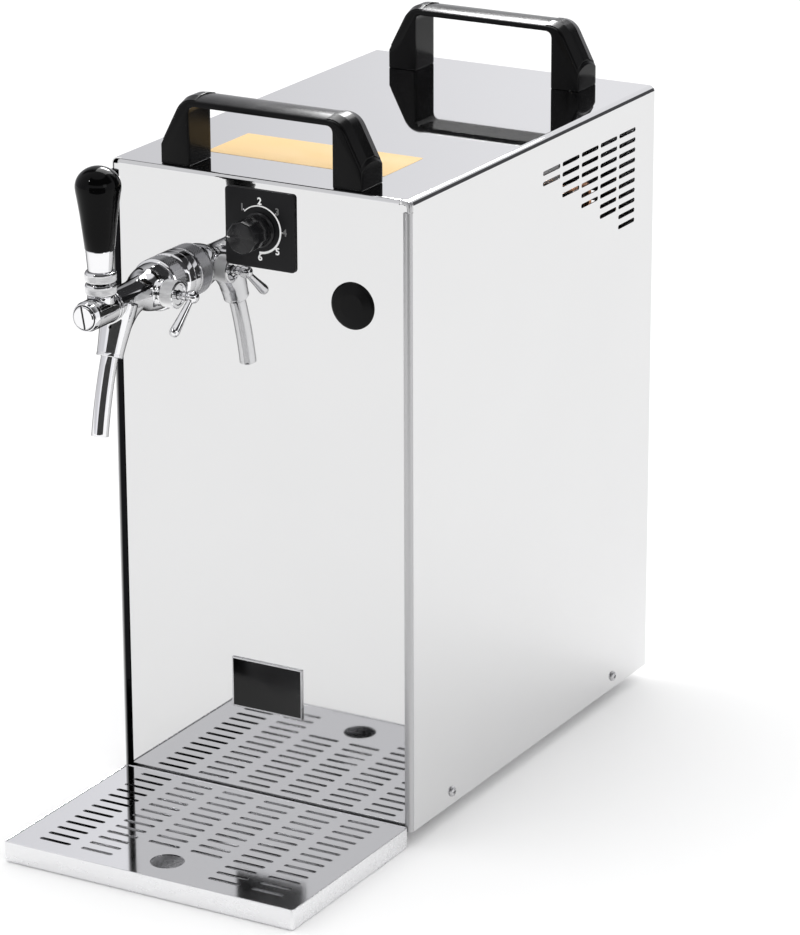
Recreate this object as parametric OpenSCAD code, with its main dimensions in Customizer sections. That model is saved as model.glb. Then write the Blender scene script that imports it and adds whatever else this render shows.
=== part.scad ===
// Draft beer dispenser: a dry-contact cooler with one compensator tap and a loose drip tray.
// Millimetres. +Z is up, the front faces -Y, and the origin is at the bottom centre of the whole part.
// Each piece is drawn with y = 0 at the face of the front panel, then moved back by middle_y.

/* [Cabinet] */
// Width over the sides of the outer cover
cab_w = 250; // [245:1:320]
// Depth from the face of the front panel to the face of the rear panel
cab_d = 380; // [375:1:460]
// Height of the sheet-metal cabinet, without its feet
cab_h = 477.5; // [474:0.5:560]
// Thickness of the cabinet sheets
sheet = 1; // [0.8:0.1:1.4]
// Outside radius of the bends between the roof and the sides
roof_bend = 5; // [3:0.5:9]
// Outside radius of the folds around the front panel
front_fold = 3; // [2:0.5:4]
// Width of the folded lip on each side of the front panel
side_lip = 6.5; // [6:0.5:9]
// Angle by which the side lips are bent past square
lip_tilt = 25; // [15:1:25]
// Height of the folded lip above the front panel
roof_lip = 3.5; // [3:0.5:6]
// Length of the corner relief at the top of each side lip
corner_relief = 9; // [7:0.5:14]
// Width of the inward flange that the rear panel is screwed to
rear_flange = 12; // [10:0.5:18]
// Height of the rim of the base pan
pan_rim = 22; // [16:1:30]
// Depth of the stiffening folds of the front panel
panel_fold = 12; // [8:1:18]
// Gap between a sheet and the sheet that it slides into
fit = 0.2; // [0.1:0.05:0.3]
// Radial gap of parts that turn or slide in each other
run = 0.05; // [0.03:0.01:0.08]

/* [Feet and screws] */
// Height of the rubber feet
foot_h = 12.5; // [10:0.5:20]
// Radius of a foot where it meets the base pan
foot_r = 14; // [11:0.5:18]
// Distance of the feet from the sides of the cabinet
foot_inset_x = 32; // [22:1:45]
// Distance of the feet from the front and the rear of the cabinet
foot_inset_y = 38; // [25:1:50]
// Radius of the shank of the foot screws
foot_screw_r = 2.5; // [2:0.25:3]
// Radius of the heads of the cover screws
screw_head_r = 4; // [3.5:0.25:4.75]
// Height of the heads of the cover screws
screw_head_h = 2.4; // [1.5:0.1:3]
// Radius of the shank of the cover screws
screw_r = 1.95; // [1.5:0.05:2.2]
// Length of the shank of the cover screws
screw_len = 6; // [5:0.5:7]
// Distance of the side screws from the front and the rear
side_screw_y = 58.5; // [45:0.5:80]
// Height of the side screws above the bottom of the cabinet
side_screw_z = 10.3; // [8:0.1:13]

/* [Vents] */
// Length of one vent slot
vent_len = 27.5; // [20:0.5:29]
// Height of one vent slot
vent_h = 3.3; // [2.5:0.1:4.5]
// Distance from one column of vent slots to the next
vent_pitch = 31.1; // [30:0.1:33]
// Distance from one row of vent slots to the next
vent_row = 7.95; // [6:0.05:9]
// Number of columns in the stepped side vent
vent_columns = 5; // [2:1:6]
// Slots that each column has more than the one before it
vent_step = 2; // [1:1:3]
// Distance of the side vent from the rear of the cabinet
vent_rear = 32; // [26:0.5:40]
// Distance of the top row below the roof
vent_top = 26.9; // [20:0.1:35]
// Rows of slots in the rear panel's vent
rear_vent_rows = 15; // [6:1:18]
// Columns of slots in the rear panel's vent
rear_vent_columns = 5; // [3:1:6]

/* [Carry handles] */
// Length of a carry handle
handle_len = 166; // [150:1:190]
// Width of a carry handle from front to rear
handle_d = 30.5; // [24:0.5:36]
// Height of a carry handle above the roof
handle_h = 50.5; // [44:0.5:60]
// Height of the upright outer face of each handle leg
handle_shoulder = 18.7; // [14:0.1:26]
// Inward run of the sloping outer face of each leg
handle_slope = 16.6; // [10:0.1:20]
// Length of the grip between the legs
handle_grip = 119; // [105:1:125]
// Thickness of the grip bar
handle_bar = 6; // [4.5:0.5:9]
// Radius of the corners inside the grip
handle_corner = 5.5; // [5:0.5:14]
// Rise of the crowned top of the grip above its edges
handle_crown = 2.2; // [1:0.1:3]
// Distance of the front handle from the front panel
handle_inset = 2.5; // [1.5:0.5:8]
// Distance of the rear handle from the rear of the cabinet
handle_rear_inset = 17; // [10:0.5:25]
// Thickness of the caps over the handle screws
handle_cap_t = 2; // [1.5:0.25:3]
// Radius of the handle screws
handle_screw_r = 2.95; // [2.5:0.05:3.2]
// Radius of the heads of the handle screws
handle_head_r = 5; // [4.5:0.25:5.5]

/* [Front fittings] */
// Sideways place of the middle line of the front fittings
fittings_x = 2; // [1:0.5:5]
// Distance of the tap and of the blanking plug from the sides, before they move to the fittings' middle line
tap_inset = 50; // [49:0.5:55]
// Height of the tap and the blanking plug above the floor
tap_h = 407; // [400:0.5:415]
// Radius of the head of the blanking plug
plug_r = 17.5; // [14:0.5:20]
// Crown height of the blanking plug
plug_crown = 3; // [2:0.5:5]
// Radius of the stem of the blanking plug
plug_stem_r = 10.5; // [9:0.5:12]
// Length of the stem of the blanking plug
plug_stem = 12; // [8:1:16]
// Width of the badge plate
badge_w = 60; // [40:1:80]
// Height of the badge plate
badge_h = 39; // [25:1:60]
// Thickness of the badge plate
badge_t = 1.4; // [0.8:0.1:2.5]
// Height of the middle of the badge plate above the floor
badge_z = 102; // [60:1:150]

/* [Thermostat] */
// Width and height of the thermostat plate
dial_w = 57.5; // [50:0.5:60]
// Thickness of the thermostat plate
dial_t = 2; // [1.5:0.25:3]
// Corner radius of the thermostat plate
dial_corner = 3; // [1.5:0.5:6]
// Height of the thermostat spindle above the floor
dial_h = 453.2; // [448:0.2:456]
// Radius of the knob's grip
dial_knob_r = 11.5; // [9:0.25:13]
// Radius of the knob's skirt
dial_skirt_r = 13; // [11:0.25:15]
// Length of the knob
dial_knob_len = 26; // [18:0.5:30]
// Number of flats around the knob
dial_flats = 10; // [8:1:12]
// Radius of the thermostat spindle
spindle_r = 3; // [2.5:0.25:4]
// Width and height of the thermostat's switch body
switch_w = 38; // [30:1:46]
// Depth of the thermostat's switch body
switch_d = 24; // [18:1:30]
// Radius of the sensing bulb
bulb_r = 4; // [3:0.25:5]
// Length of the sensing bulb
bulb_len = 60; // [40:1:90]
// Radius of the bulb's capillary
capillary_r = 1.2; // [1:0.1:1.5]

/* [Tap body] */
// Radius of the wall flange
flange_r = 19.5; // [19:0.5:22]
// Thickness of the wall flange
flange_t = 9; // [8:0.5:9]
// Radius of the shank behind the panel
shank_r = 10; // [9:0.25:11]
// Length of the shank behind the panel
shank_len = 45; // [38:1:50]
// Radius of the thread under the coupling nut
neck_thread_r = 16; // [15.2:0.1:16.5]
// Radius of the knurled coupling nut
coupling_r = 19.5; // [18.5:0.5:21]
// Length of the knurled coupling nut
coupling_w = 16; // [14:0.5:16]
// Radius of the body where its swelling meets the coupling nut
swell_r = 17.5; // [17.2:0.1:18.4]
// Distance from the panel of the place where the swelling runs out into the barrel
swell_reach = 58; // [56:0.5:64]
// Distance of the centre of the round compensator chamber from the panel
chamber_reach = 33; // [32.5:0.5:34]
// Radius of the barrel
barrel_r = 11; // [10.5:0.25:12.5]
// Distance of the front end of the barrel from the panel
barrel_reach = 116; // [114:0.5:125]
// Radius of the bore that the valve piston slides in
piston_bore_r = 7; // [6.5:0.1:7.5]
// Distance of the valve seat from the panel
seat_reach = 58; // [56:0.5:60]
// Radius of the slotted front cap
cap_r = 8.7; // [8:0.1:9.5]
// Thickness of the head of the front cap
cap_t = 2; // [1.5:0.25:3]
// Width of the slot in the front cap
cap_slot = 1.6; // [1:0.1:2.4]
// Distance of the outlet's centre line from the panel, at the barrel
outlet_reach = 70.7; // [69:0.1:73]
// Forward lean of the outlet
outlet_lean = 22; // [12:1:25]
// Length of the outlet neck
neck_len = 40; // [34:1:46]
// Radius of the outlet neck at its mouth
neck_r = 9.3; // [8:0.1:10]
// Radius of the outlet neck at the barrel
neck_root_r = 10.8; // [10:0.1:11]
// Outside radius of the spout
spout_r = 6.2; // [5.5:0.1:6.5]
// Wall of the spout
spout_wall = 1; // [0.8:0.1:1.4]
// Radius of the spout's long bend
spout_bend = 300; // [250:5:400]
// Angle that the spout's long bend turns through
spout_turn = 12; // [8:0.5:14]
// Depth of the spout's socket in the outlet neck
spout_socket = 12; // [8:0.5:12]

/* [Tap lever] */
// Distance of the lever's pivot from the panel
lever_reach = 94.5; // [93:0.5:97]
// Height of the lever's pivot above the tap's axis
lever_rise = 12; // [11.7:0.1:13]
// Radius of the lever's pivot ball
pivot_r = 6.5; // [6:0.1:7]
// Radius of the two knurled rings
ring_r = 11.3; // [10.8:0.1:12]
// Radius of the ball-shaped joint between the two rings
ring_joint_r = 13.8; // [13.4:0.1:14.5]
// Gap between the two rings
ring_gap = 0.3; // [0.2:0.05:0.5]
// Height of the top of the upper ring above the pivot
ring_top = 17; // [16:0.25:19]
// Radius of the lever's stem
stem_r = 3.2; // [2.6:0.1:3.4]
// Angle that the lever can swing forward
lever_swing = 25; // [25:0.25:26]
// Radius of the rod that reaches down to the piston
finger_r = 1.6; // [1.3:0.1:1.8]
// Radius of the ball at the end of that rod
finger_ball_r = 2.5; // [2.2:0.1:2.7]
// Radius of the ferrule where it meets the upper ring
ferrule_r = 9; // [8:0.25:10]
// Radius of the black knob where it meets the ferrule
knob_foot_r = 10.75; // [9.5:0.25:12]
// Largest radius of the black knob
knob_r = 16.5; // [14:0.25:19]
// Height of the bottom of the black knob above the pivot
knob_foot = 32.8; // [28:0.2:38]
// Height of the top of the black knob above the pivot
knob_top = 92.7; // [80:0.1:110]

/* [Compensator] */
// Distance of the compensator's axle from the panel
axle_reach = 36.5; // [36.5:0.5:38]
// Radius of the compensator's axle
axle_r = 3; // [2.5:0.1:3.4]
// Throw of the crank pin that moves the cone
crank = 2.5; // [2:0.1:2.8]
// Radius of the crank pin
crank_pin_r = 1.2; // [1:0.1:1.4]
// Radius of the knurled gland nut
gland_nut_r = 10.3; // [9.6:0.1:10.3]
// Length of the knurled gland nut
gland_nut_len = 11.3; // [9:0.1:12]
// Radius of the ball at the end of the axle
axle_ball_r = 4.6; // [4:0.1:5.5]
// Length of the compensator's lever
arm_len = 34.5; // [28:0.5:40]
// Radius of the lever at the axle
arm_root_r = 1.9; // [1.6:0.1:2.4]
// Radius of the lever's rounded tip
arm_tip_r = 3.4; // [2.6:0.1:4]
// Forward tilt of the lever from straight down, at rest
arm_tilt = 51; // [40:1:60]
// Largest radius of the flow cone
cone_r = 6.5; // [6:0.1:7]
// Radius of the tip of the flow cone
cone_tip_r = 3; // [2.4:0.1:3.6]

/* [Drip tray] */
// How far each side of the drip tray stays inside the cabinet's side
tray_inset = 2.5; // [0:0.5:15]
// Distance of the front of the drip tray from the front panel
tray_d = 167; // [150:1:190]
// Height of the drip tray
tray_h = 16.5; // [14:0.5:24]
// Thickness of the drip tray's sheet
tray_t = 1; // [0.8:0.1:1.5]
// Corner radius of the drip tray
tray_corner = 3; // [3:0.5:10]
// Gap between the drip tray and the cabinet
tray_gap = 0.3; // [0.2:0.1:0.8]
// Depth of the grate below the rim of the drip tray
grate_drop = 0.5; // [0.3:0.1:2]
// Gap between the grate and the rim
grate_gap = 0.5; // [0.3:0.1:0.9]
// Length of one slot in the grate
slot_len = 26.5; // [20:0.5:32]
// Width of one slot in the grate
slot_w = 3.8; // [2.5:0.1:5]
// Distance between the columns of slots
slot_pitch_x = 36; // [34:0.5:38]
// Distance between the rows of slots
slot_pitch_y = 11.3; // [9:0.1:11.8]
// Number of columns of slots
slot_columns = 6; // [2:2:6]
// Number of rows of slots
slot_rows = 13; // [6:1:13]
// Rows that the two middle columns leave out for the finger hole
slot_rows_left_out = 3; // [3:1:5]
// Distance of the rearmost row from the front panel
slot_start = 12; // [10:0.5:16]
// Radius of the finger hole
finger_hole_r = 12.5; // [9:0.5:13]
// Distance of the finger hole from the front panel
finger_hole_y = 138; // [132:0.5:142]

/* [Cooling block] */
// Distance of the insulation box from the front panel
box_y = 30; // [28:1:36]
// Air space between the insulation box and each side of the cabinet
box_side = 22; // [20:0.5:25]
// Depth of the room for the condensing unit, behind the insulation box
rear_room = 190; // [186:1:200]
// Height of the insulation box with its lid
box_h = 316; // [300:1:330]
// Wall of the insulation box
box_wall = 20; // [14:1:21]
// Gap between the cooling block and its insulation
block_gap = 0.3; // [0.2:0.1:0.5]
// Outside radius of the beer lines
beer_line_r = 4.75; // [4:0.25:5]
// Bore radius of the beer lines
beer_bore_r = 3.75; // [3:0.25:3.9]
// Distance of the beer outlet from the front panel
beer_out_y = 90; // [85:1:100]
// Depth of the sockets that the lines end in
socket_depth = 10; // [6:0.5:12]

/* [Refrigeration] */
// Distance between the insulation box and the condenser
condenser_gap = 42; // [40:1:48]
// Room for the lines between the condenser and each side of the cabinet
condenser_side = 29; // [27:0.5:34]
// Depth of the condenser
condenser_d = 50; // [44:1:52]
// Number of passes of the condenser's tube
tube_passes = 8; // [4:2:8]
// Distance between the passes of the condenser's tube
tube_pitch = 26; // [25:0.5:26]
// Radius of the condenser's tube
tube_r = 4; // [3.5:0.25:5]
// Height of the lowest pass above the floor
tube_low = 252; // [250:1:258]
// Number of condenser fins
fin_count = 24; // [8:1:30]
// Thickness of a condenser fin
fin_t = 0.8; // [0.5:0.1:1.2]
// Thickness of the condenser's side plates
plate_t = 1.5; // [1.2:0.1:2]
// Distance of the fan's tips from the condenser's side plates
fan_side = 13; // [11:0.5:25]
// Number of fan blades
fan_blades = 5; // [3:1:7]
// Radius of the fan's hub
hub_r = 22; // [18:1:26]
// Radius of the fan motor
motor_r = 36; // [30:1:40]
// Room beside the compressor's shell, between the beer line and the terminal box
shell_room = 31.25; // [31:0.25:40]
// Height of the top of the compressor's shell above its base plate
shell_h = 134; // [125:1:138]
// Sideways place of the compressor
shell_x = 4; // [2:0.5:5]
// Distance of the compressor from the condenser's front
shell_back = 62; // [60:1:66]
// Radius of the refrigerant lines
line_r = 3; // [2.5:0.25:3.5]
// Radius of the suction line
suction_r = 4.75; // [4:0.25:5]
// Radius of the bends of all lines
line_bend = 12; // [10:0.5:12]
// Radius of the filter drier
drier_r = 9; // [8:0.5:10]
// Length of the filter drier
drier_len = 90; // [70:1:100]

/* [Rear fittings] */
// Radius of the thread of the 5/8 inch beer inlet
inlet_r = 11.45; // [10.4:0.05:13.2]
// Length of the threaded end of the beer inlet
inlet_thread = 15; // [12:0.5:20]
// Thickness of the inlet's hexagon
inlet_hex = 9; // [7:0.5:12]
// Width across the flats of the inlet's hexagon
inlet_flats = 27; // [27:0.5:32]
// Bore radius of the beer inlet
inlet_bore_r = 4.8; // [4.8:0.05:5.5]
// Distance of the beer inlet from the left side
inlet_inset = 53; // [52:0.5:57]
// Height of the beer inlet above the floor
inlet_z = 72; // [66:1:80]
// Distance of the cable gland from the right side
gland_inset = 32; // [27:0.5:37]
// Height of the cable gland above the floor
gland_z = 76; // [68:1:84]
// Radius of the thread of the cable gland
gland_r = 8; // [7:0.25:9]
// Bore radius of the cable gland
gland_bore_r = 4; // [3:0.25:5]

/* [Hidden] */
$fn = 96;
// Length by which a cut runs past the face that it opens
over = 1;
// Gap at the blind end of a socket
end_gap = 0.5;
// Small chamfer on turned pieces
chamfer = 1;
// Chords in a small rounded edge, and in a larger one
edge_steps = 5;
round_steps = 16;
// Thread that stands out of a nut
screw_tail = 4;

// Heights and depths that several pieces share
roof_z = foot_h + cab_h;
inner_w = cab_w - 2 * sheet;
panel_w = inner_w - 2 * fit;
panel_top = roof_z - sheet - fit;
lip_run = (side_lip - front_fold * (1 + sin(lip_tilt))) / cos(lip_tilt);
lip_stand = front_fold * (1 - cos(lip_tilt)) + lip_run * sin(lip_tilt) + sheet * cos(lip_tilt);
cover_front = front_fold - sheet;
floor_z = foot_h + sheet;
rear_in = cab_d - sheet;
inlet_out = inlet_hex + inlet_thread;
inlet_x = inlet_inset - cab_w / 2;
gland_x = cab_w / 2 - gland_inset;
middle_y = (cab_d + inlet_out - tray_d) / 2;

// Feet and screws
foot_taper = 2;
foot_edge = 1.5;
foot_head_r = 2 * foot_screw_r;
foot_x = cab_w / 2 - foot_inset_x;
foot_ys = [foot_inset_y, cab_d - foot_inset_y];
side_screw_ys = [side_screw_y, cab_d - side_screw_y];
side_screw_h = foot_h + side_screw_z;
rear_screw_x = inner_w / 2 - rear_flange / 2;
rear_screw_zs = [foot_h + pan_rim * 2, foot_h + cab_h / 2, roof_z - pan_rim * 2];

// Carry handles
crown_r = (handle_d * handle_d / 4 + handle_crown * handle_crown) / (2 * handle_crown);
crown_angle = asin(handle_d / 2 / crown_r);
handle_ys = [handle_inset, cab_d - handle_rear_inset - handle_d];
leg_w = (handle_len - handle_grip) / 2;
handle_screw_x = handle_grip / 2 + leg_w / 2;
handle_seat_drop = 7;
handle_seat = handle_shoulder - handle_seat_drop;
handle_head_h = 3;
handle_nut_h = 5;
handle_nut_flats = 10;
slope_angle = atan2(handle_slope, handle_h - handle_shoulder);
slope_len = norm([handle_slope, handle_h - handle_shoulder]);
cap_start = 3;
cap_margin = 4;
cap_len = slope_len * 5 / 8;
cap_w = handle_d - 2 * cap_margin;

// Thermostat
knob_gap = 0.4;
bush_r = spindle_r + 2;
dial_skirt_h = 3;
spindle_in_knob = dial_knob_len * 3 / 5;
capillary_depth = 5;
bulb_y = 75;

// Tap body
tap_x = fittings_x - (cab_w / 2 - tap_inset);
plug_x = fittings_x + (cab_w / 2 - tap_inset);
flange_edge = 2.5;
shank_nut_flats = 32;
shank_nut_h = 8;
coupling_start = flange_t + end_gap;
coupling_end = coupling_start + coupling_w;
tail_in_nut = 4;
tail_start = coupling_end - tail_in_nut;
lip_t = 1.2;
tail_step = 3.5;
tail_r = neck_thread_r - tail_step;
tail_collar_r = neck_thread_r - end_gap;
chamber_wall = 4.5;
chamber_r = swell_r - chamber_wall;
swell_start = coupling_end + fit;
swell_len = swell_reach - swell_start;
swell_angle = 2 * atan((swell_r - barrel_r) / swell_len);
swell_bend = swell_len / (2 * sin(swell_angle));
barrel_wall = 1.6;
passage_r = barrel_r - barrel_wall;
funnel_r = cone_r + 3;
cap_plug = 5;
spot_face = 17;
gland_wall = 3.4;
gland_spigot_r = gland_nut_r - gland_wall;
gland_spigot = 2.5;
spout_bore_r = spout_r - spout_wall;
spout_in = asin((spout_socket / 2 - end_gap) / spout_bend);
boss_r = ring_r - 1.5;
bonnet_bore_r = pivot_r + 0.4;

// Tap lever, piston and compensator
pivot_z = tap_h + lever_rise;
swing_r = stem_r / cos(lever_swing) + ring_gap;
stem_in_knob = 18;
knob_edge = 0.6;
piston_r = piston_bore_r - run;
piston_front = lever_reach + 15.5;
piston_rear = lever_reach - 14.5;
piston_flat_z = 1.5;
piston_flat_rear = lever_reach - 8;
piston_flat_front = lever_reach + 10;
finger_gap = 0.6;
head_t = 4.5;
head_r = passage_r - 1;
seal_t = 2;
seal_depth = 1.5;
seal_inset = 3;
seal_reaches = [piston_rear + seal_inset, piston_front - seal_inset - seal_t];
web_x = cone_r + 0.8;
web_t = 1;
axle_end = spot_face + gland_nut_len + 11;
crank_end = 2 * crank_pin_r;
cone_half = 5;
cone_edge = 1.5;

// Drip tray
tray_w = cab_w - 2 * tray_inset;
tray_rear = lip_stand + tray_gap;
grate_top = tray_h - grate_drop;
grate_w = tray_w - 2 * (tray_t + grate_gap);
grate_front = tray_d - tray_t - grate_gap;
grate_rear = tray_rear + tray_t + grate_gap;
grate_mid = (grate_front + grate_rear) / 2;
grate_d = grate_front - grate_rear;
tray_mid = (tray_d + tray_rear) / 2;

// Cooling block
box_w = inner_w - 2 * box_side;
box_rear = cab_d - rear_room;
box_d = box_rear - box_y;
box_top = floor_z + box_h;
lid_z = box_top - box_wall;
block_w = box_w - 2 * (box_wall + block_gap);
block_y = box_y + box_wall + block_gap;
block_d = box_d - 2 * (box_wall + block_gap);
block_rear = block_y + block_d;
block_z = floor_z + box_wall;
block_top = lid_z - block_gap;
suction_out_y = 110;
liquid_x = 60;
liquid_z = 62;

// Condenser and fan
cond_y = box_rear + condenser_gap;
cond_mid = cond_y + condenser_d / 2;
condenser_w = inner_w - 2 * condenser_side;
cond_x = condenser_w / 2;
plate_over = 6;
plate_foot = 10;
tube_end = cond_x + plate_t + end_gap * 2;
tube_turn = tube_end + line_bend;
tube_top = tube_low + (tube_passes - 1) * tube_pitch;
fin_low = tube_low - tube_pitch / 2;
fin_high = tube_top + tube_pitch / 2;
shroud_y = cond_y + condenser_d;
shroud_t = 1.5;
shroud_ring = 16;
ring_y = shroud_y + shroud_t + shroud_ring;
fan_gap = 4;
fan_r = cond_x - fan_side;
duct_r = fan_r + fan_gap;
duct_wall = 2;
fan_z = (fin_low + fin_high) / 2;
fan_y = shroud_y + shroud_t + 8;
fan_depth = 22;
fan_pitch = 28;
blade_t = 2;
blade_root = 8;
blade_tip = 36;
motor_y = fan_y + fan_depth + 2;
motor_len = 34;
shaft_r = 4;
shaft_in = motor_len / 2;
strut_r = 3;
strut_y = motor_y + strut_r + 1;

// Terminal box, on the floor of the pan beside the compressor
shell_y = cond_y + shell_back;
term_w = 30;
term_d = 62;
term_h = 74;
term_wall = 2;
term_gap = 6;
term_x = inner_w / 2 - term_w - term_gap;
term_y = shell_y + 6;

// Compressor and refrigerant lines
shell_r = (term_x - inlet_x - beer_line_r - shell_room) / 2;
mount_h = 16;
mount_r = 10;
waist_r = mount_r * 3 / 4;
base_plate_t = 4;
base_plate_gap = 4;
base_plate_w = 2 * (term_x - base_plate_gap - shell_x);
base_plate_d = 112;
bolt_inset = 11;
bolt_r = 3;
bolt_head_r = 6;
shell_z = floor_z + mount_h + base_plate_t;
shell_top = shell_z + shell_h;
shell_edge = 5;
seam_low = shell_h * 2 / 5;
seam_high = shell_h * 23 / 50;
seam_out = 2;
bolt_xs = [-base_plate_w / 2 + bolt_inset, base_plate_w / 2 - bolt_inset];
bolt_ys = [-base_plate_d / 2 + bolt_inset, base_plate_d / 2 - bolt_inset];
stub_r = 7;
stub_x = 38;
stub_top = shell_top + 8;
stub_low = shell_z + shell_h / 2;
suction_x = shell_x - stub_x;
discharge_x = shell_x + stub_x;
lines_rise = 30;
lines_z = stub_top + lines_rise;
lines_y = box_rear + condenser_gap / 2;
suction_top = box_top + 20;
riser_gap = 14.5;
riser_x = tube_end + riser_gap;
drier_gap = 4;
drier_x = cond_x + plate_t + drier_r + drier_gap;
drier_drop = 46;
drier_top = tube_low - drier_drop;

// Rear fittings
inlet_in = 12;
inlet_nut_flats = inlet_flats + 3;
thin_nut_h = 5;
gland_out = 14;
gland_in = 9;
gland_hex = 5;
gland_flats = 2 * gland_r + 4;

// Points of an arc, from angle a0 to angle a1
function arc(centre, r, a0, a1, steps = round_steps) =
  [for (i = [0:steps]) let (a = a0 + (a1 - a0) * i / steps) centre + r * [cos(a), sin(a)]];
function unit(v) = v / norm(v);
function reversed(list) = [for (i = [len(list) - 1:-1:0]) list[i]];

// Frames
module placed() { translate([0, -middle_y, 0]) children(); }
module toward_front() { rotate([90, 0, 0]) children(); }
module toward_rear() { rotate([-90, 0, 0]) children(); }
module toward_right() { rotate([0, 90, 0]) children(); }
module at_tap() { translate([tap_x, 0, tap_h]) children(); }
module along_tap(reach) { at_tap() toward_front() translate([0, 0, reach]) children(); }
module at_pivot() { translate([tap_x, -lever_reach, pivot_z]) children(); }
module at_outlet() { translate([tap_x, -outlet_reach, tap_h]) rotate([-outlet_lean, 0, 0]) children(); }
module at_axle() { translate([tap_x, -axle_reach, tap_h]) children(); }
module at_dial() { translate([fittings_x, 0, dial_h]) children(); }
module at_fan() { translate([0, fan_y, fan_z]) toward_rear() children(); }
module at_inlet(y) { translate([inlet_x, y, inlet_z]) toward_rear() children(); }
module at_gland(y) { translate([gland_x, y, gland_z]) toward_rear() children(); }
module on_both_sides() { for (m = [0, 1]) mirror([m, 0, 0]) children(); }
module at_feet() { for (x = [-foot_x, foot_x], y = foot_ys) translate([x, y, 0]) children(); }
module at_bolts(z) { for (x = bolt_xs, y = bolt_ys) translate([shell_x + x, shell_y + y, z]) children(); }
module at_rear_screws(y) {
  for (x = [-rear_screw_x, rear_screw_x], z = rear_screw_zs) translate([x, y, z]) toward_rear() children();
}
module at_side_screws() {
  on_both_sides() for (y = side_screw_ys) translate([cab_w / 2, y, side_screw_h]) toward_right() children();
}
module at_handle_screws(ys, z) {
  on_both_sides() for (y = ys)
    translate([handle_screw_x, y + handle_d / 2, z]) children();
}
module on_slopes(ys) {
  on_both_sides() for (y = ys) translate([handle_len / 2, y + handle_d / 2, roof_z + handle_shoulder])
    rotate([0, -slope_angle, 0]) children();
}

// Shapes that repeat
module block(low, high) { translate(low) cube(high - low); }
module bore(r, h) { translate([0, 0, -over]) cylinder(r = r, h = h + 2 * over); }
module rounded_rect(w, h, r) {
  square([w - 2 * r, h], center = true);
  square([w, h - 2 * r], center = true);
  for (x = [-1, 1], y = [-1, 1]) translate([x * (w / 2 - r), y * (h / 2 - r)]) circle(r);
}
module slot_shape(len, w) {
  square([len - w, w], center = true);
  for (x = [-1, 1]) translate([x * (len - w) / 2, 0]) circle(w / 2);
}
module rod(a, b, r) {
  d = b - a;
  translate(a) rotate([0, acos(d.z / norm(d)), atan2(d.y, d.x)]) cylinder(r = r, h = norm(d));
}
module elbow(corner, u, v, r) {
  centre = corner + line_bend * (v - u);
  n = cross(u, v);
  multmatrix([
    [-v.x, u.x, n.x, centre.x],
    [-v.y, u.y, n.y, centre.y],
    [-v.z, u.z, n.z, centre.z],
    [0, 0, 0, 1]
  ]) rotate_extrude(angle = 90) translate([line_bend, 0]) circle(r);
}
// A line of round section through square corners
module pipe(points, r) {
  last = len(points) - 1;
  for (i = [0:last - 1]) {
    d = unit(points[i + 1] - points[i]);
    rod(points[i] + (i > 0 ? line_bend : 0) * d, points[i + 1] - (i < last - 1 ? line_bend : 0) * d, r);
    if (i < last - 1) elbow(points[i + 1], d, unit(points[i + 2] - points[i + 1]), r);
  }
}
module hexagon(flats, h) { cylinder(r = flats / sqrt(3), h = h, $fn = 6); }
module nut(flats, h, r) {
  difference() {
    hexagon(flats, h);
    bore(r, h);
  }
}
module pan_head_screw(r, len, head_r, head_h) {
  rotate_extrude() polygon(concat(
    [[0, -len], [r, -len], [r, 0], [head_r, 0]],
    arc([0, 0], 1, 0, 90, edge_steps) * [[head_r, 0], [0, head_h]]
  ));
}

// Cabinet
module base_pan() {
  color("lightgray") difference() {
    union() {
      block([-panel_w / 2, sheet, foot_h], [panel_w / 2, rear_in, floor_z]);
      on_both_sides()
        block([panel_w / 2 - sheet, sheet, foot_h], [panel_w / 2, rear_in, foot_h + pan_rim]);
      block([-panel_w / 2, rear_in - sheet, foot_h], [panel_w / 2, rear_in, foot_h + pan_rim]);
    }
    at_feet() translate([0, 0, foot_h]) bore(foot_screw_r + run, sheet);
    at_bolts(foot_h) bore(bolt_r + run, sheet);
    at_side_screws() mirror([0, 0, 1]) bore(screw_r + run, screw_len);
  }
}

function cover_path(inset) =
  let (w = cab_w / 2 - inset, r = roof_bend - inset, z = roof_z - roof_bend)
  concat([[w, foot_h]], arc([w - r, z], r, 0, 90), arc([r - w, z], r, 90, 180), [[-w, foot_h]]);
module fold_section(lip, tilt) {
  centre = [front_fold, front_fold];
  across = [-sin(tilt), cos(tilt)];
  flat = (lip - front_fold * (1 + sin(tilt))) / cos(tilt);
  tip = centre - front_fold * across + flat * [cos(tilt), sin(tilt)];
  rise = cover_front + lip_stand;
  polygon(concat(
    [[0, rise]], arc(centre, front_fold, 180, 270 + tilt),
    [tip, tip + sheet * across], arc(centre, front_fold - sheet, 270 + tilt, 180), [[sheet, rise]]
  ));
}
module side_vent_slots() {
  for (c = [0:vent_columns - 1], row = [0:vent_step * (c + 1) - 1]) translate([
    0,
    cab_d - vent_rear - vent_len / 2 - (vent_columns - 1 - c) * vent_pitch,
    roof_z - vent_top - row * vent_row
  ]) rotate([90, 0, 90]) linear_extrude(cab_w + 2 * over, center = true) slot_shape(vent_len, vent_h);
}
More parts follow.
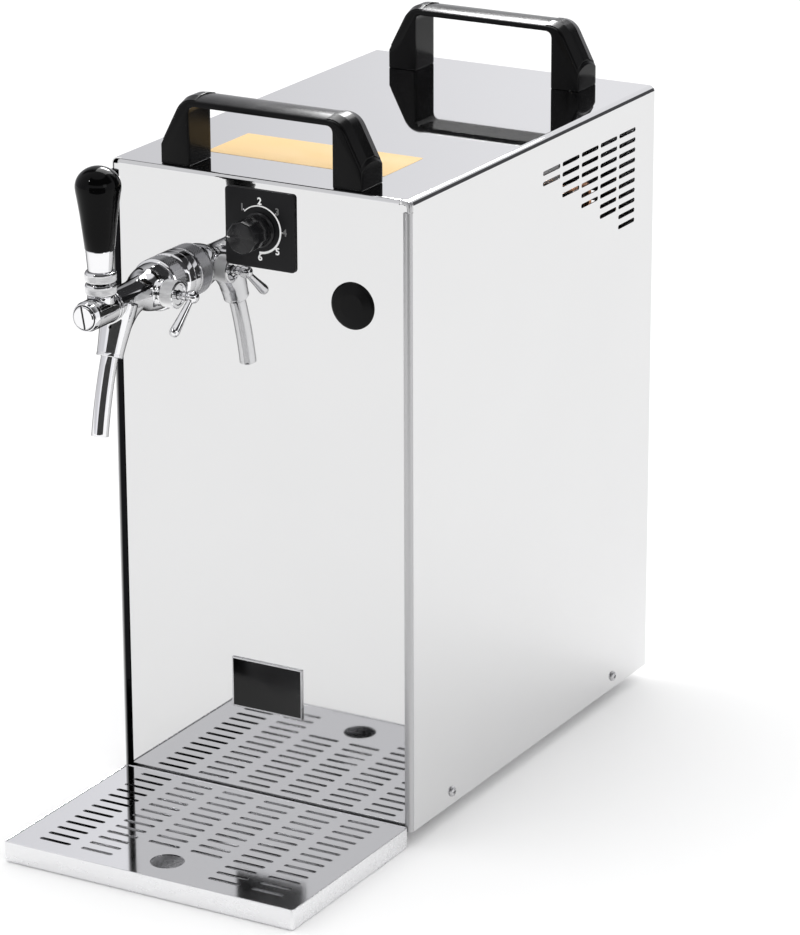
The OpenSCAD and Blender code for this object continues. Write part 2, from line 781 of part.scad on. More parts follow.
module outer_cover() {
  color("gainsboro") difference() {
    union() {
      translate([0, cab_d, 0]) toward_front() linear_extrude(cab_d - cover_front)
        polygon(concat(cover_path(0), reversed(cover_path(sheet))));
      on_both_sides() translate([-cab_w / 2, -lip_stand, foot_h])
        linear_extrude(cab_h - corner_relief) fold_section(side_lip, lip_tilt);
      translate([-cab_w / 2 + corner_relief, -lip_stand, roof_z]) rotate([0, 90, 0])
        linear_extrude(cab_w - 2 * corner_relief) fold_section(roof_lip, 0);
      on_both_sides() block(
        [inner_w / 2 - rear_flange, rear_in - sheet, foot_h + pan_rim + fit],
        [inner_w / 2 + sheet / 2, rear_in, panel_top - roof_bend]
      );
    }
    side_vent_slots();
    at_side_screws() mirror([0, 0, 1]) bore(screw_r + run, sheet);
    at_rear_screws(rear_in - sheet) bore(screw_r + run, sheet);
    at_handle_screws(handle_ys, roof_z - sheet) bore(handle_screw_r + run, sheet);
  }
}

module front_panel() {
  edge_x = cab_w / 2 - front_fold - fit;
  top_fold_x = panel_w / 2 - roof_bend;
  bend_z = panel_top - front_fold;
  centre = [front_fold, bend_z];
  color("whitesmoke") difference() {
    union() {
      block([-edge_x, 0, foot_h], [edge_x, sheet, bend_z]);
      block([-edge_x, 0, floor_z], [edge_x, panel_fold, floor_z + sheet]);
      translate([-top_fold_x, 0, 0]) rotate([90, 0, 90]) linear_extrude(2 * top_fold_x) polygon(concat(
        arc(centre, front_fold, 180, 90), [[panel_fold, panel_top], [panel_fold, panel_top - sheet]],
        arc(centre, front_fold - sheet, 90, 180)
      ));
    }
    at_tap() toward_rear() bore(shank_r + run, sheet);
    translate([plug_x, 0, tap_h]) toward_rear() bore(plug_stem_r + run, sheet);
    at_dial() toward_rear() bore(bush_r + run, sheet);
  }
}

module rear_vent_slots() {
  for (c = [0:rear_vent_columns - 1], row = [0:rear_vent_rows - 1]) translate([
    (c - (rear_vent_columns - 1) / 2) * vent_pitch,
    cab_d + over,
    fan_z + (row - (rear_vent_rows - 1) / 2) * vent_row
  ]) toward_front() linear_extrude(sheet + 2 * over) slot_shape(vent_len, vent_h);
}
module rear_panel() {
  color("lightgray") difference() {
    translate([0, cab_d, 0]) toward_front() linear_extrude(sheet) polygon(cover_path(sheet + fit));
    rear_vent_slots();
    at_rear_screws(rear_in) bore(screw_r + run, sheet);
    at_inlet(rear_in) bore(inlet_r + run, sheet);
    at_gland(rear_in) bore(gland_r + run, sheet);
  }
}

module feet() {
  color("dimgray") at_feet() difference() {
    rotate_extrude() polygon(concat(
      [[0, 0]],
      arc([foot_r - foot_taper - foot_edge, foot_edge], foot_edge, -90, 0, edge_steps),
      [[foot_r, foot_h], [0, foot_h]]
    ));
    bore(foot_screw_r + run, foot_h);
    translate([0, 0, -over]) cylinder(r = foot_head_r + end_gap, h = foot_h / 2 + over);
  }
}
module foot_screws() {
  color("silver") at_feet() translate([0, 0, foot_h / 2]) rotate([180, 0, 0])
    pan_head_screw(foot_screw_r, foot_h / 2 + sheet, foot_head_r, foot_screw_r);
}
module cover_screws() {
  color("silver") at_side_screws() pan_head_screw(screw_r, screw_len, screw_head_r, screw_head_h);
}
module rear_panel_screws() {
  color("silver") at_rear_screws(cab_d) pan_head_screw(screw_r, screw_len, screw_head_r, screw_head_h);
}

// Carry handles
module handle_outline() {
  inner_h = handle_h - handle_bar;
  half = handle_grip / 2;
  difference() {
    polygon([
      [-handle_len / 2, 0], [handle_len / 2, 0], [handle_len / 2, handle_shoulder],
      [handle_len / 2 - handle_slope, handle_h], [-handle_len / 2 + handle_slope, handle_h],
      [-handle_len / 2, handle_shoulder]
    ]);
    polygon(concat(
      [[-half, -over], [half, -over]],
      arc([half - handle_corner, inner_h - handle_corner], handle_corner, 0, 90),
      arc([handle_corner - half, inner_h - handle_corner], handle_corner, 90, 180)
    ));
  }
}
module crown_section() {
  polygon(concat(
    [[-handle_d / 2, -over], [handle_d / 2, -over]],
    arc([0, handle_h - crown_r], crown_r, 90 - crown_angle, 90 + crown_angle)
  ));
}
module carry_handle(y) {
  color([0.09, 0.09, 0.09]) difference() {
    intersection() {
      translate([0, y + handle_d, roof_z]) toward_front() linear_extrude(handle_d) handle_outline();
      translate([-handle_len / 2 - over, y + handle_d / 2, roof_z]) rotate([90, 0, 90])
        linear_extrude(handle_len + 2 * over) crown_section();
    }
    on_slopes([y]) block(
      [-handle_cap_t, -cap_w / 2 - fit, cap_start - fit],
      [over, cap_w / 2 + fit, cap_start + cap_len + fit]
    );
    at_handle_screws([y], roof_z) bore(handle_screw_r + run, handle_seat);
    at_handle_screws([y], roof_z + handle_seat) cylinder(r = handle_head_r + fit, h = handle_h);
  }
}
module front_handle() { carry_handle(handle_ys[0]); }
module rear_handle() { carry_handle(handle_ys[1]); }
module handle_caps() {
  color([0.12, 0.12, 0.12]) on_slopes(handle_ys)
    block([-handle_cap_t, -cap_w / 2, cap_start], [0, cap_w / 2, cap_start + cap_len]);
}
module handle_screws() {
  length = handle_seat + sheet + handle_nut_h + screw_tail;
  color("silver") {
    at_handle_screws(handle_ys, roof_z + handle_seat)
      pan_head_screw(handle_screw_r, length, handle_head_r, handle_head_h);
    at_handle_screws(handle_ys, roof_z - sheet - handle_nut_h) hexagon(handle_nut_flats, handle_nut_h);
  }
}

// Front fittings
module blanking_plug() {
  crown_r = (plug_r * plug_r + plug_crown * plug_crown) / (2 * plug_crown);
  crown_a = asin(plug_r / crown_r);
  color([0.1, 0.1, 0.1]) translate([plug_x, 0, tap_h]) toward_front() rotate_extrude() polygon(concat(
    [[0, -plug_stem], [plug_stem_r - chamfer, -plug_stem], [plug_stem_r, chamfer - plug_stem]],
    [[plug_stem_r, 0], [plug_r, 0]],
    arc([0, plug_crown - crown_r], crown_r, 90 - crown_a, 90)
  ));
}
module badge_plate() {
  color([0.08, 0.08, 0.08]) translate([fittings_x, 0, badge_z]) toward_front() linear_extrude(badge_t)
    square([badge_w, badge_h], center = true);
}

// Thermostat
module thermostat_plate() {
  color([0.16, 0.16, 0.17]) at_dial() toward_front() linear_extrude(dial_t) difference() {
    rounded_rect(dial_w, dial_w, dial_corner);
    circle(bush_r + run);
  }
}
module thermostat_switch() {
  color("gainsboro") at_dial() difference() {
    union() {
      block([-switch_w / 2, sheet, -switch_w / 2], [switch_w / 2, sheet + switch_d, switch_w / 2]);
      translate([0, sheet + over, 0]) toward_front() cylinder(r = bush_r, h = over + sheet + dial_t);
    }
    translate([0, sheet + switch_d / 2, 0]) toward_front() cylinder(r = spindle_r + run, h = switch_d);
    translate([0, sheet + switch_d - capillary_depth, 0]) toward_rear()
      cylinder(r = capillary_r + run, h = capillary_depth + over);
  }
}
module thermostat_spindle() {
  color("silver") at_dial() translate([0, sheet + switch_d / 2 - end_gap, 0]) toward_front()
    cylinder(r = spindle_r, h = switch_d / 2 - end_gap + sheet + dial_t + knob_gap + spindle_in_knob);
}
module thermostat_knob() {
  color([0.07, 0.07, 0.07]) at_dial() toward_front() translate([0, 0, dial_t + knob_gap]) difference() {
    union() {
      cylinder(r = dial_skirt_r, h = dial_skirt_h);
      cylinder(r = dial_knob_r / cos(180 / dial_flats), h = dial_knob_len, $fn = dial_flats);
    }
    translate([0, 0, -over]) cylinder(r = spindle_r, h = over + spindle_in_knob + end_gap);
  }
}
module thermostat_bulb() {
  start = sheet + switch_d - capillary_depth + end_gap;
  color("peru") {
    pipe([
      [fittings_x, start, dial_h], [fittings_x, bulb_y, dial_h],
      [fittings_x, bulb_y, block_top - bulb_len / 2]
    ], capillary_r);
    translate([fittings_x, bulb_y, block_top - bulb_len]) cylinder(r = bulb_r, h = bulb_len);
  }
}

// Tap, fixed pieces
module tap_shank() {
  color("silver") difference() {
    along_tap(0) rotate_extrude() polygon(concat(
      [[0, -shank_len], [shank_r, -shank_len], [shank_r, 0], [flange_r, 0]],
      arc([flange_r - flange_edge, flange_t - flange_edge], flange_edge, 0, 90, edge_steps),
      [[neck_thread_r, flange_t], [neck_thread_r, tail_start], [0, tail_start]]
    ));
    along_tap(-shank_len) bore(beer_bore_r, shank_len + tail_start);
    along_tap(-shank_len - over) cylinder(r = beer_line_r + run, h = socket_depth + over);
    along_tap(0) cylinder(r1 = beer_bore_r, r2 = funnel_r, h = tail_start + over);
  }
}
module shank_nut() {
  color("silver") along_tap(-sheet - shank_nut_h) nut(shank_nut_flats, shank_nut_h, shank_r);
}
module coupling_nut() {
  color("darkgray") along_tap(coupling_start) difference() {
    rotate_extrude() polygon([
      [0, 0], [coupling_r - chamfer, 0], [coupling_r, chamfer], [coupling_r, coupling_w - chamfer],
      [coupling_r - chamfer, coupling_w], [0, coupling_w]
    ]);
    translate([0, 0, -over]) cylinder(r = neck_thread_r + run, h = over + coupling_w - lip_t);
    bore(tail_r + fit, coupling_w);
  }
}
module tap_body_outside() {
  along_tap(tail_start) cylinder(r = tail_collar_r, h = tail_in_nut - lip_t);
  along_tap(tail_start) cylinder(r = tail_r, h = chamber_reach - tail_start);
  difference() {
    along_tap(0) rotate_extrude() polygon(concat(
      [[0, swell_start]], arc([swell_r - swell_bend, swell_start], swell_bend, 0, swell_angle),
      arc([barrel_r + swell_bend, swell_reach], swell_bend, 180 + swell_angle, 180), [[0, swell_reach]]
    ));
    at_axle() translate([spot_face, 0, 0]) toward_right() cylinder(r = gland_nut_r + fit, h = swell_r);
  }
  at_axle() toward_right() cylinder(r = gland_nut_r - chamfer, h = spot_face);
  at_axle() toward_right() cylinder(r = gland_spigot_r, h = spot_face + gland_spigot);
  along_tap(chamber_reach) cylinder(r = barrel_r, h = barrel_reach - chamber_reach);
  at_tap() translate([0, -lever_reach, 0]) cylinder(r = boss_r, h = lever_rise);
  at_outlet() translate([0, 0, -neck_len]) cylinder(r1 = neck_r, r2 = neck_root_r, h = neck_len);
}
module tap_body() {
  color("silver") difference() {
    tap_body_outside();
    along_tap(tail_start - over) cylinder(r = funnel_r, h = chamber_reach - tail_start + over);
    along_tap(chamber_reach) sphere(r = chamber_r);
    along_tap(chamber_reach) cylinder(r = passage_r, h = seat_reach - chamber_reach);
    along_tap(chamber_reach) cylinder(r = piston_bore_r, h = barrel_reach - chamber_reach + over);
    at_tap() translate([0, -lever_reach, 0]) cylinder(r = bonnet_bore_r, h = lever_rise + over);
    at_outlet() translate([0, 0, -neck_len - over]) cylinder(r = spout_bore_r, h = neck_len + over);
    at_outlet() translate([0, 0, -neck_len - over])
      cylinder(r = spout_r + 2 * run, h = spout_socket + over);
    at_axle() toward_right() cylinder(r = axle_r + run, h = spot_face + gland_spigot + over);
  }
}
module tap_front_cap() {
  color("silver") difference() {
    union() {
      along_tap(barrel_reach - cap_plug) cylinder(r = piston_bore_r, h = cap_plug + cap_t);
      along_tap(barrel_reach) cylinder(r = cap_r, h = cap_t);
    }
    along_tap(barrel_reach + cap_t) cube([cap_slot, 3 * cap_r, cap_t], center = true);
  }
}
module tap_spout() {
  color("silver") at_outlet() translate([0, spout_bend, spout_socket / 2 - neck_len]) rotate([90, 0, -90])
    rotate([0, 0, -spout_turn]) rotate_extrude(angle = spout_turn + spout_in) translate([spout_bend, 0])
      difference() {
        circle(spout_r);
        circle(spout_bore_r);
      }
}
module bonnet_ring() {
  color("darkgray") at_pivot() difference() {
    intersection() {
      cylinder(r = ring_r, h = ring_joint_r);
      sphere(r = ring_joint_r);
    }
    sphere(r = pivot_r + run);
    cylinder(r1 = swing_r, r2 = swing_r + ring_joint_r * tan(lever_swing), h = ring_joint_r);
  }
}
module compensator_nut() {
  color("gainsboro") at_axle() translate([spot_face, 0, 0]) toward_right() difference() {
    rotate_extrude() polygon([
      [0, 0], [gland_nut_r, 0], [gland_nut_r, gland_nut_len - chamfer],
      [gland_nut_r - chamfer, gland_nut_len], [0, gland_nut_len]
    ]);
    translate([0, 0, -over]) cylinder(r = gland_spigot_r, h = over + gland_spigot);
    bore(axle_r + run, gland_nut_len);
  }
}

// Tap, pieces that swing with the lever
module lever_stem() {
  color("silver") at_pivot() {
    sphere(r = pivot_r);
    cylinder(r = stem_r, h = knob_foot + stem_in_knob);
    translate([0, 0, -lever_rise]) cylinder(r = finger_r, h = lever_rise);
    translate([0, 0, -lever_rise]) sphere(r = finger_ball_r);
  }
}
module lever_ring() {
  rim = sqrt(pow(ring_joint_r + ring_gap, 2) - ring_r * ring_r) + ring_gap;
  color("darkgray") at_pivot() difference() {
    rotate_extrude() polygon([
      [0, rim], [ring_r, rim], [ring_r, ring_top - chamfer], [ring_r - chamfer, ring_top], [0, ring_top]
    ]);
    sphere(r = ring_joint_r + ring_gap);
    cylinder(r = stem_r, h = ring_top + over);
  }
}
module lever_ferrule() {
  color("gainsboro") at_pivot() translate([0, 0, ring_top]) difference() {
    cylinder(r1 = ferrule_r, r2 = knob_foot_r - knob_edge, h = knob_foot - ring_top);
    bore(stem_r, knob_foot - ring_top);
  }
}
module lever_knob() {
  flank = atan2(knob_r - knob_foot_r, knob_top - knob_r - knob_foot);
  color([0.05, 0.05, 0.05]) at_pivot() difference() {
    rotate_extrude() polygon(concat(
      [[0, knob_foot], [knob_foot_r - knob_edge, knob_foot], [knob_foot_r, knob_foot + knob_edge]],
      arc([0, knob_top - knob_r], knob_r, -flank, 90)
    ));
    cylinder(r = stem_r, h = knob_foot + stem_in_knob + end_gap);
  }
}

// Valve piston, and the seals on it
module seal_ring(r, depth, h) {
  difference() {
    cylinder(r = r, h = h);
    bore(r - depth, h);
  }
}
module valve_piston() {
  slot_half = finger_ball_r + end_gap;
  slot_side = finger_ball_r + finger_gap;
  color("burlywood") difference() {
    along_tap(0) rotate_extrude() polygon([
      [0, seat_reach - head_t], [head_r, seat_reach - head_t], [head_r, seat_reach - seal_t],
      [stem_r, seat_reach - seal_t], [stem_r, piston_rear], [piston_r, piston_rear],
      [piston_r, piston_front], [0, piston_front]
    ]);
    at_tap()
      block([-piston_r, -piston_flat_front, piston_flat_z], [piston_r, -piston_flat_rear, 2 * piston_r]);
    at_tap() block(
      [-slot_side, -lever_reach - slot_half, -slot_side], [slot_side, -lever_reach + slot_half, piston_r]
    );
    for (reach = seal_reaches) along_tap(reach) seal_ring(piston_r + over, seal_depth + over, seal_t);
  }
}
module valve_seals() {
  color([0.12, 0.12, 0.12]) {
    for (reach = seal_reaches) along_tap(reach) seal_ring(piston_r, seal_depth, seal_t);
    along_tap(seat_reach - seal_t) seal_ring(head_r, head_r - stem_r, seal_t - run);
  }
}

// Compensator, moving pieces
module compensator_lever() {
  color("silver") at_axle() {
    translate([web_x, 0, 0]) toward_right() cylinder(r = axle_r, h = axle_end - web_x);
    translate([web_x, 0, 0]) toward_right() cylinder(r = crank + 2 * crank_pin_r - web_t / 2, h = web_t);
    translate([-crank_end, 0, crank]) toward_right()
      cylinder(r = crank_pin_r, h = crank_end + web_x + web_t);
    translate([axle_end, 0, 0]) sphere(r = axle_ball_r);
    translate([axle_end, 0, 0]) rotate([-arm_tilt, 0, 0]) rotate_extrude()
      polygon(concat([[0, 0], [arm_root_r, 0]], arc([0, -arm_len], arm_tip_r, 0, -90)));
  }
}
module compensator_cone() {
  front = axle_reach + cone_half;
  tip = tail_start - tail_in_nut;
  slot_half = crank_pin_r + end_gap;
  color("whitesmoke") difference() {
    along_tap(0) rotate_extrude() polygon([
      [0, tip], [cone_tip_r, tip], [cone_r, axle_reach - cone_half], [cone_r, front - cone_edge],
      [cone_r - cone_edge, front], [0, front]
    ]);
    at_axle() block([-crank_end - web_t, -slot_half, -crank_pin_r], [cone_r + over, slot_half, cone_r]);
  }
}

// Drip tray
module drip_tray() {
  d = tray_d - tray_rear;
  color("gainsboro") translate([0, -tray_mid, 0]) difference() {
    linear_extrude(tray_h) rounded_rect(tray_w, d, tray_corner);
    translate([0, 0, tray_t]) linear_extrude(tray_h)
      rounded_rect(tray_w - 2 * tray_t, d - 2 * tray_t, tray_corner - tray_t);
  }
}
module grate_slots() {
  for (c = [0:slot_columns - 1]) {
    place = c - (slot_columns - 1) / 2;
    rows = abs(place) < 1 ? slot_rows - slot_rows_left_out : slot_rows;
    for (row = [0:rows - 1])
      translate([place * slot_pitch_x, -slot_start - row * slot_pitch_y]) slot_shape(slot_len, slot_w);
  }
}
module drip_grate() {
  r = tray_corner - tray_t - grate_gap;
  color("whitesmoke") {
    translate([0, 0, grate_top - tray_t]) linear_extrude(tray_t) difference() {
      translate([0, -grate_mid]) rounded_rect(grate_w, grate_d, r);
      grate_slots();
      translate([0, -finger_hole_y]) circle(finger_hole_r);
    }
    translate([0, -grate_mid, tray_t]) linear_extrude(grate_top - 2 * tray_t) difference() {
      rounded_rect(grate_w, grate_d, r);
      rounded_rect(grate_w - 2 * tray_t, grate_d - 2 * tray_t, r - tray_t);
    }
  }
}

// Cooling block and beer lines
module insulation_box() {
  color("khaki") difference() {
    block([-box_w / 2, box_y, floor_z], [box_w / 2, box_rear, lid_z]);
    block(
      [-box_w / 2 + box_wall, box_y + box_wall, block_z],
      [box_w / 2 - box_wall, box_rear - box_wall, box_top]
    );
    at_inlet(box_rear - box_wall) bore(beer_line_r + fit, box_wall);
    translate([liquid_x, box_rear - box_wall, liquid_z]) toward_rear() bore(line_r + fit, box_wall);
  }
}
module insulation_lid() {
  color("khaki") difference() {
    block([-box_w / 2, box_y, lid_z], [box_w / 2, box_rear, box_top]);
    translate([tap_x, beer_out_y, lid_z]) bore(beer_line_r + fit, box_wall);
    translate([suction_x, suction_out_y, lid_z]) bore(suction_r + fit, box_wall);
    translate([fittings_x, bulb_y, lid_z]) bore(capillary_r + fit, box_wall);
  }
}
module cooling_block() {
  color("silver") difference() {
    block([-block_w / 2, block_y, block_z], [block_w / 2, block_rear, block_top]);
    translate([tap_x, beer_out_y, block_top - socket_depth])
      cylinder(r = beer_line_r + run, h = socket_depth + over);
    translate([suction_x, suction_out_y, block_top - socket_depth])
      cylinder(r = suction_r + run, h = socket_depth + over);
    translate([fittings_x, bulb_y, block_top - bulb_len - end_gap])
      cylinder(r = bulb_r + run, h = bulb_len + end_gap + over);
    at_inlet(block_rear - socket_depth) cylinder(r = beer_line_r + run, h = socket_depth + over);
    translate([liquid_x, block_rear - socket_depth, liquid_z]) toward_rear()
      cylinder(r = line_r + run, h = socket_depth + over);
  }
}
module beer_line_in() {
  start = block_rear - socket_depth + end_gap;
  length = rear_in - sheet - start;
  color("silver") at_inlet(start) difference() {
    cylinder(r = beer_line_r, h = length);
    bore(beer_bore_r, length);
  }
}
module beer_line_out_route(r, past) {
  pipe([
    [tap_x, beer_out_y, block_top - socket_depth + end_gap - past],
    [tap_x, beer_out_y, tap_h],
    [tap_x, shank_len - socket_depth + end_gap - past, tap_h]
  ], r);
}
module beer_line_out() {
  color("silver") difference() {
    beer_line_out_route(beer_line_r, 0);
    beer_line_out_route(beer_bore_r, over);
  }
}

// Refrigeration
module compressor_shell() {
  rotate_extrude() polygon(concat(
    [[0, 0], [shell_r - shell_edge, 0], [shell_r, shell_edge], [shell_r, seam_low]],
    [[shell_r + seam_out, seam_low], [shell_r + seam_out, seam_high]],
    [for (p = arc([0, 0], 1, 0, 90)) [p.x * shell_r, seam_high + p.y * (shell_h - seam_high)]]
  ));
}
module compressor() {
  half_w = base_plate_w / 2;
  half_d = base_plate_d / 2;
  color([0.13, 0.13, 0.14]) difference() {
    translate([shell_x, shell_y, 0]) {
      translate([0, 0, shell_z]) compressor_shell();
      block([-half_w, -half_d, shell_z - base_plate_t], [half_w, half_d, shell_z]);
      for (x = [-stub_x, stub_x]) translate([x, 0, stub_low]) cylinder(r = stub_r, h = stub_top - stub_low);
    }
    at_bolts(shell_z - base_plate_t) bore(bolt_r + run, base_plate_t);
    translate([suction_x, shell_y, stub_top - socket_depth])
      cylinder(r = suction_r + run, h = socket_depth + over);
    translate([discharge_x, shell_y, stub_top - socket_depth])
      cylinder(r = line_r + run, h = socket_depth + over);
  }
}
module compressor_mounts() {
  color("dimgray") at_bolts(floor_z) rotate_extrude() polygon([
    [bolt_r + run, 0], [mount_r, 0], [mount_r, mount_h / 3], [waist_r, mount_h / 2],
    [mount_r, mount_h * 2 / 3], [mount_r, mount_h], [bolt_r + run, mount_h]
  ]);
}
module compressor_bolts() {
  color("silver") at_bolts(shell_z)
    pan_head_screw(bolt_r, base_plate_t + mount_h + sheet + screw_tail, bolt_head_r, bolt_r);
}
module condenser_plate(low, high) {
  difference() {
    translate([cond_y, low]) square([condenser_d, high - low]);
    for (i = [0:tube_passes - 1]) translate([cond_mid, tube_low + i * tube_pitch]) circle(tube_r + run);
  }
}
module condenser_frame() {
  color("lightsteelblue") on_both_sides() {
    translate([cond_x, 0, 0]) rotate([90, 0, 90]) linear_extrude(plate_t)
      condenser_plate(floor_z, fin_high + plate_over);
    block([cond_x, cond_y, floor_z], [cond_x + plate_t + plate_foot, shroud_y, floor_z + plate_t]);
  }
}
module condenser_fins() {
  step = condenser_w / (fin_count + 1);
  color("silver") for (i = [1:fin_count]) translate([i * step - cond_x - fin_t / 2, 0, 0])
    rotate([90, 0, 90]) linear_extrude(fin_t) condenser_plate(fin_low, fin_high);
}
module condenser_tube() {
  turns = [for (i = [0:tube_passes - 1], k = [0, 1])
    [(i + k) % 2 == 0 ? tube_turn : -tube_turn, cond_mid, tube_low + i * tube_pitch]];
  route = [for (i = [0:len(turns) - 1])
    i == 0 || i == len(turns) - 1 ? [tube_end, turns[i].y, turns[i].z] : turns[i]];
  color("peru") difference() {
    pipe(route, tube_r);
    for (z = [tube_low, tube_top]) translate([tube_end - socket_depth, cond_mid, z]) toward_right()
      cylinder(r = line_r + run, h = socket_depth + over);
  }
}
module fan_shroud() {
  color([0.15, 0.15, 0.16]) difference() {
    union() {
      block([-cond_x, shroud_y, fin_low], [cond_x, shroud_y + shroud_t, fin_high]);
      translate([0, shroud_y, fan_z]) toward_rear()
        cylinder(r = duct_r + duct_wall, h = shroud_t + shroud_ring);
    }
    translate([0, shroud_y, fan_z]) toward_rear() bore(duct_r, shroud_t + shroud_ring);
  }
}
module fan_motor() {
  color([0.2, 0.2, 0.22]) difference() {
    union() {
      translate([0, motor_y, fan_z]) toward_rear() cylinder(r = motor_r, h = motor_len);
      for (a = [45:90:315]) {
        out = (duct_r + duct_wall / 2) * [cos(a), 0, sin(a)];
        rod([0, strut_y, fan_z] + out / 3, [0, strut_y, fan_z] + out, strut_r);
        translate([0, ring_y, fan_z] + out) toward_rear()
          cylinder(r = strut_r, h = strut_y + strut_r - ring_y);
      }
    }
    translate([0, motor_y - over, fan_z]) toward_rear() cylinder(r = shaft_r + run, h = shaft_in + over);
  }
}
module fan_blade() {
  color([0.1, 0.1, 0.1]) at_fan() {
    cylinder(r = hub_r, h = fan_depth);
    cylinder(r = shaft_r, h = motor_y - fan_y + shaft_in - end_gap);
    for (i = [0:fan_blades - 1]) rotate([0, 0, i * 360 / fan_blades]) translate([0, 0, fan_depth / 2])
      rotate([fan_pitch, 0, 0]) linear_extrude(blade_t, center = true) intersection() {
        circle(fan_r);
        polygon([
          [0, -blade_root / 2], [2 * fan_r, -blade_tip], [2 * fan_r, blade_tip], [0, blade_root / 2]
        ]);
      }
  }
}
module discharge_line() {
  color("peru") pipe([
    [discharge_x, shell_y, stub_top - socket_depth + end_gap], [discharge_x, shell_y, lines_z],
    [riser_x, shell_y, lines_z], [riser_x, shell_y, tube_top], [riser_x, cond_mid, tube_top],
    [tube_end - socket_depth + end_gap, cond_mid, tube_top]
  ], line_r);
}
module liquid_line() {
  drier_low = drier_top - drier_len;
  color("peru") {
    pipe([
      [tube_end - socket_depth + end_gap, cond_mid, tube_low], [drier_x, cond_mid, tube_low],
      [drier_x, cond_mid, liquid_z], [drier_x, lines_y, liquid_z], [liquid_x, lines_y, liquid_z],
      [liquid_x, block_rear - socket_depth + end_gap, liquid_z]
    ], line_r);
    translate([drier_x, cond_mid, drier_low]) cylinder(r = drier_r, h = drier_len);
  }
}
module suction_line() {
  color("peru") pipe([
    [suction_x, suction_out_y, block_top - socket_depth + end_gap], [suction_x, suction_out_y, suction_top],
    [suction_x, lines_y, suction_top], [suction_x, lines_y, lines_z], [suction_x, shell_y, lines_z],
    [suction_x, shell_y, stub_top - socket_depth + end_gap]
  ], suction_r);
}
module terminal_box() {
  low = [term_x, term_y, floor_z];
  high = low + [term_w, term_d, term_h];
  wall = [term_wall, term_wall, term_wall];
  color([0.18, 0.18, 0.2]) difference() {
    block(low, high);
    block(low + wall, high - wall);
  }
}

// Rear fittings
module beer_inlet() {
  color("silver") difference() {
    union() {
      at_inlet(rear_in - inlet_in) cylinder(r = inlet_r, h = inlet_in + sheet + inlet_out - chamfer);
      at_inlet(cab_d) hexagon(inlet_flats, inlet_hex);
      at_inlet(cab_d + inlet_out - chamfer) cylinder(r1 = inlet_r, r2 = inlet_r - chamfer, h = chamfer);
    }
    at_inlet(rear_in - inlet_in) bore(inlet_bore_r, inlet_in + sheet + inlet_out);
  }
}
module inlet_nut() {
  color("silver") at_inlet(rear_in - thin_nut_h) nut(inlet_nut_flats, thin_nut_h, inlet_r);
}
module cable_gland() {
  color([0.1, 0.1, 0.1]) difference() {
    union() {
      at_gland(rear_in - gland_in) cylinder(r = gland_r, h = gland_in + sheet + gland_hex);
      at_gland(cab_d) hexagon(gland_flats, gland_hex);
      at_gland(cab_d + gland_hex)
        cylinder(r1 = gland_r + chamfer, r2 = gland_r - chamfer, h = gland_out - gland_hex);
    }
    at_gland(rear_in - gland_in) bore(gland_bore_r, gland_in + sheet + gland_out);
  }
}
module gland_nut() {
  color([0.1, 0.1, 0.1]) at_gland(rear_in - thin_nut_h) nut(gland_flats + chamfer, thin_nut_h, gland_r);
}

placed() base_pan();
placed() outer_cover();
placed() front_panel();
placed() rear_panel();
placed() feet();
placed() foot_screws();
placed() cover_screws();
placed() rear_panel_screws();
placed() front_handle();
placed() rear_handle();
placed() handle_caps();
placed() handle_screws();
placed() thermostat_plate();
placed() thermostat_switch();
placed() thermostat_spindle();
placed() thermostat_knob();
placed() thermostat_bulb();
placed() blanking_plug();
placed() badge_plate();
placed() tap_shank();
placed() shank_nut();
placed() coupling_nut();
placed() tap_body();
placed() tap_front_cap();
placed() tap_spout();
placed() bonnet_ring();
placed() lever_stem();
placed() lever_ring();
placed() lever_ferrule();
placed() lever_knob();
placed() valve_piston();
placed() valve_seals();
placed() compensator_nut();
placed() compensator_lever();
placed() compensator_cone();
placed() drip_tray();
placed() drip_grate();
placed() insulation_box();
placed() insulation_lid();
placed() cooling_block();
placed() beer_line_in();
placed() beer_line_out();
placed() compressor();
placed() compressor_mounts();
placed() compressor_bolts();
placed() condenser_frame();
placed() condenser_fins();
placed() condenser_tube();
placed() fan_shroud();
placed() fan_motor();
placed() fan_blade();
placed() discharge_line();
placed() liquid_line();
placed() suction_line();
placed() terminal_box();
placed() beer_inlet();
placed() inlet_nut();
placed() cable_gland();
placed() gland_nut();
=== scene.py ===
"""Looks of a draft beer dispenser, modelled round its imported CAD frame."""
import math

import bmesh
import bpy
from bpy.props import FloatProperty, FloatVectorProperty, PointerProperty
from mathutils import Matrix, Vector


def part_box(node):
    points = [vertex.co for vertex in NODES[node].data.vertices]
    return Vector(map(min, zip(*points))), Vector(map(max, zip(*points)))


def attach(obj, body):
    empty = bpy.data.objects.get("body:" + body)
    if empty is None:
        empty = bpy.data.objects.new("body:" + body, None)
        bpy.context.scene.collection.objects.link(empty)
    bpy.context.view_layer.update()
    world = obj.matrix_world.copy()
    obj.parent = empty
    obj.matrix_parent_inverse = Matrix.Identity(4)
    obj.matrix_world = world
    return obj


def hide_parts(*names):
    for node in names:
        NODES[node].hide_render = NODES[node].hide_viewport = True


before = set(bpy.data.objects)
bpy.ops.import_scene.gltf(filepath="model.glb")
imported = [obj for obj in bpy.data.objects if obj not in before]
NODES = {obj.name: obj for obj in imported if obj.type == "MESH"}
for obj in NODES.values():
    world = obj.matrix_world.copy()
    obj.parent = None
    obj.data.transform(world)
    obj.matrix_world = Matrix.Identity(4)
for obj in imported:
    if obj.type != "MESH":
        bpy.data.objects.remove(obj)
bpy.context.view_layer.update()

bl_info = {
    "name": "Draft beer dispenser",
    "version": (1, 0, 0),
    "blender": (4, 5, 0),
    "location": "View3D > Sidebar > Dispenser",
    "description": "Builds the looks of a draft beer dispenser round its CAD frame",
    "category": "Object",
}

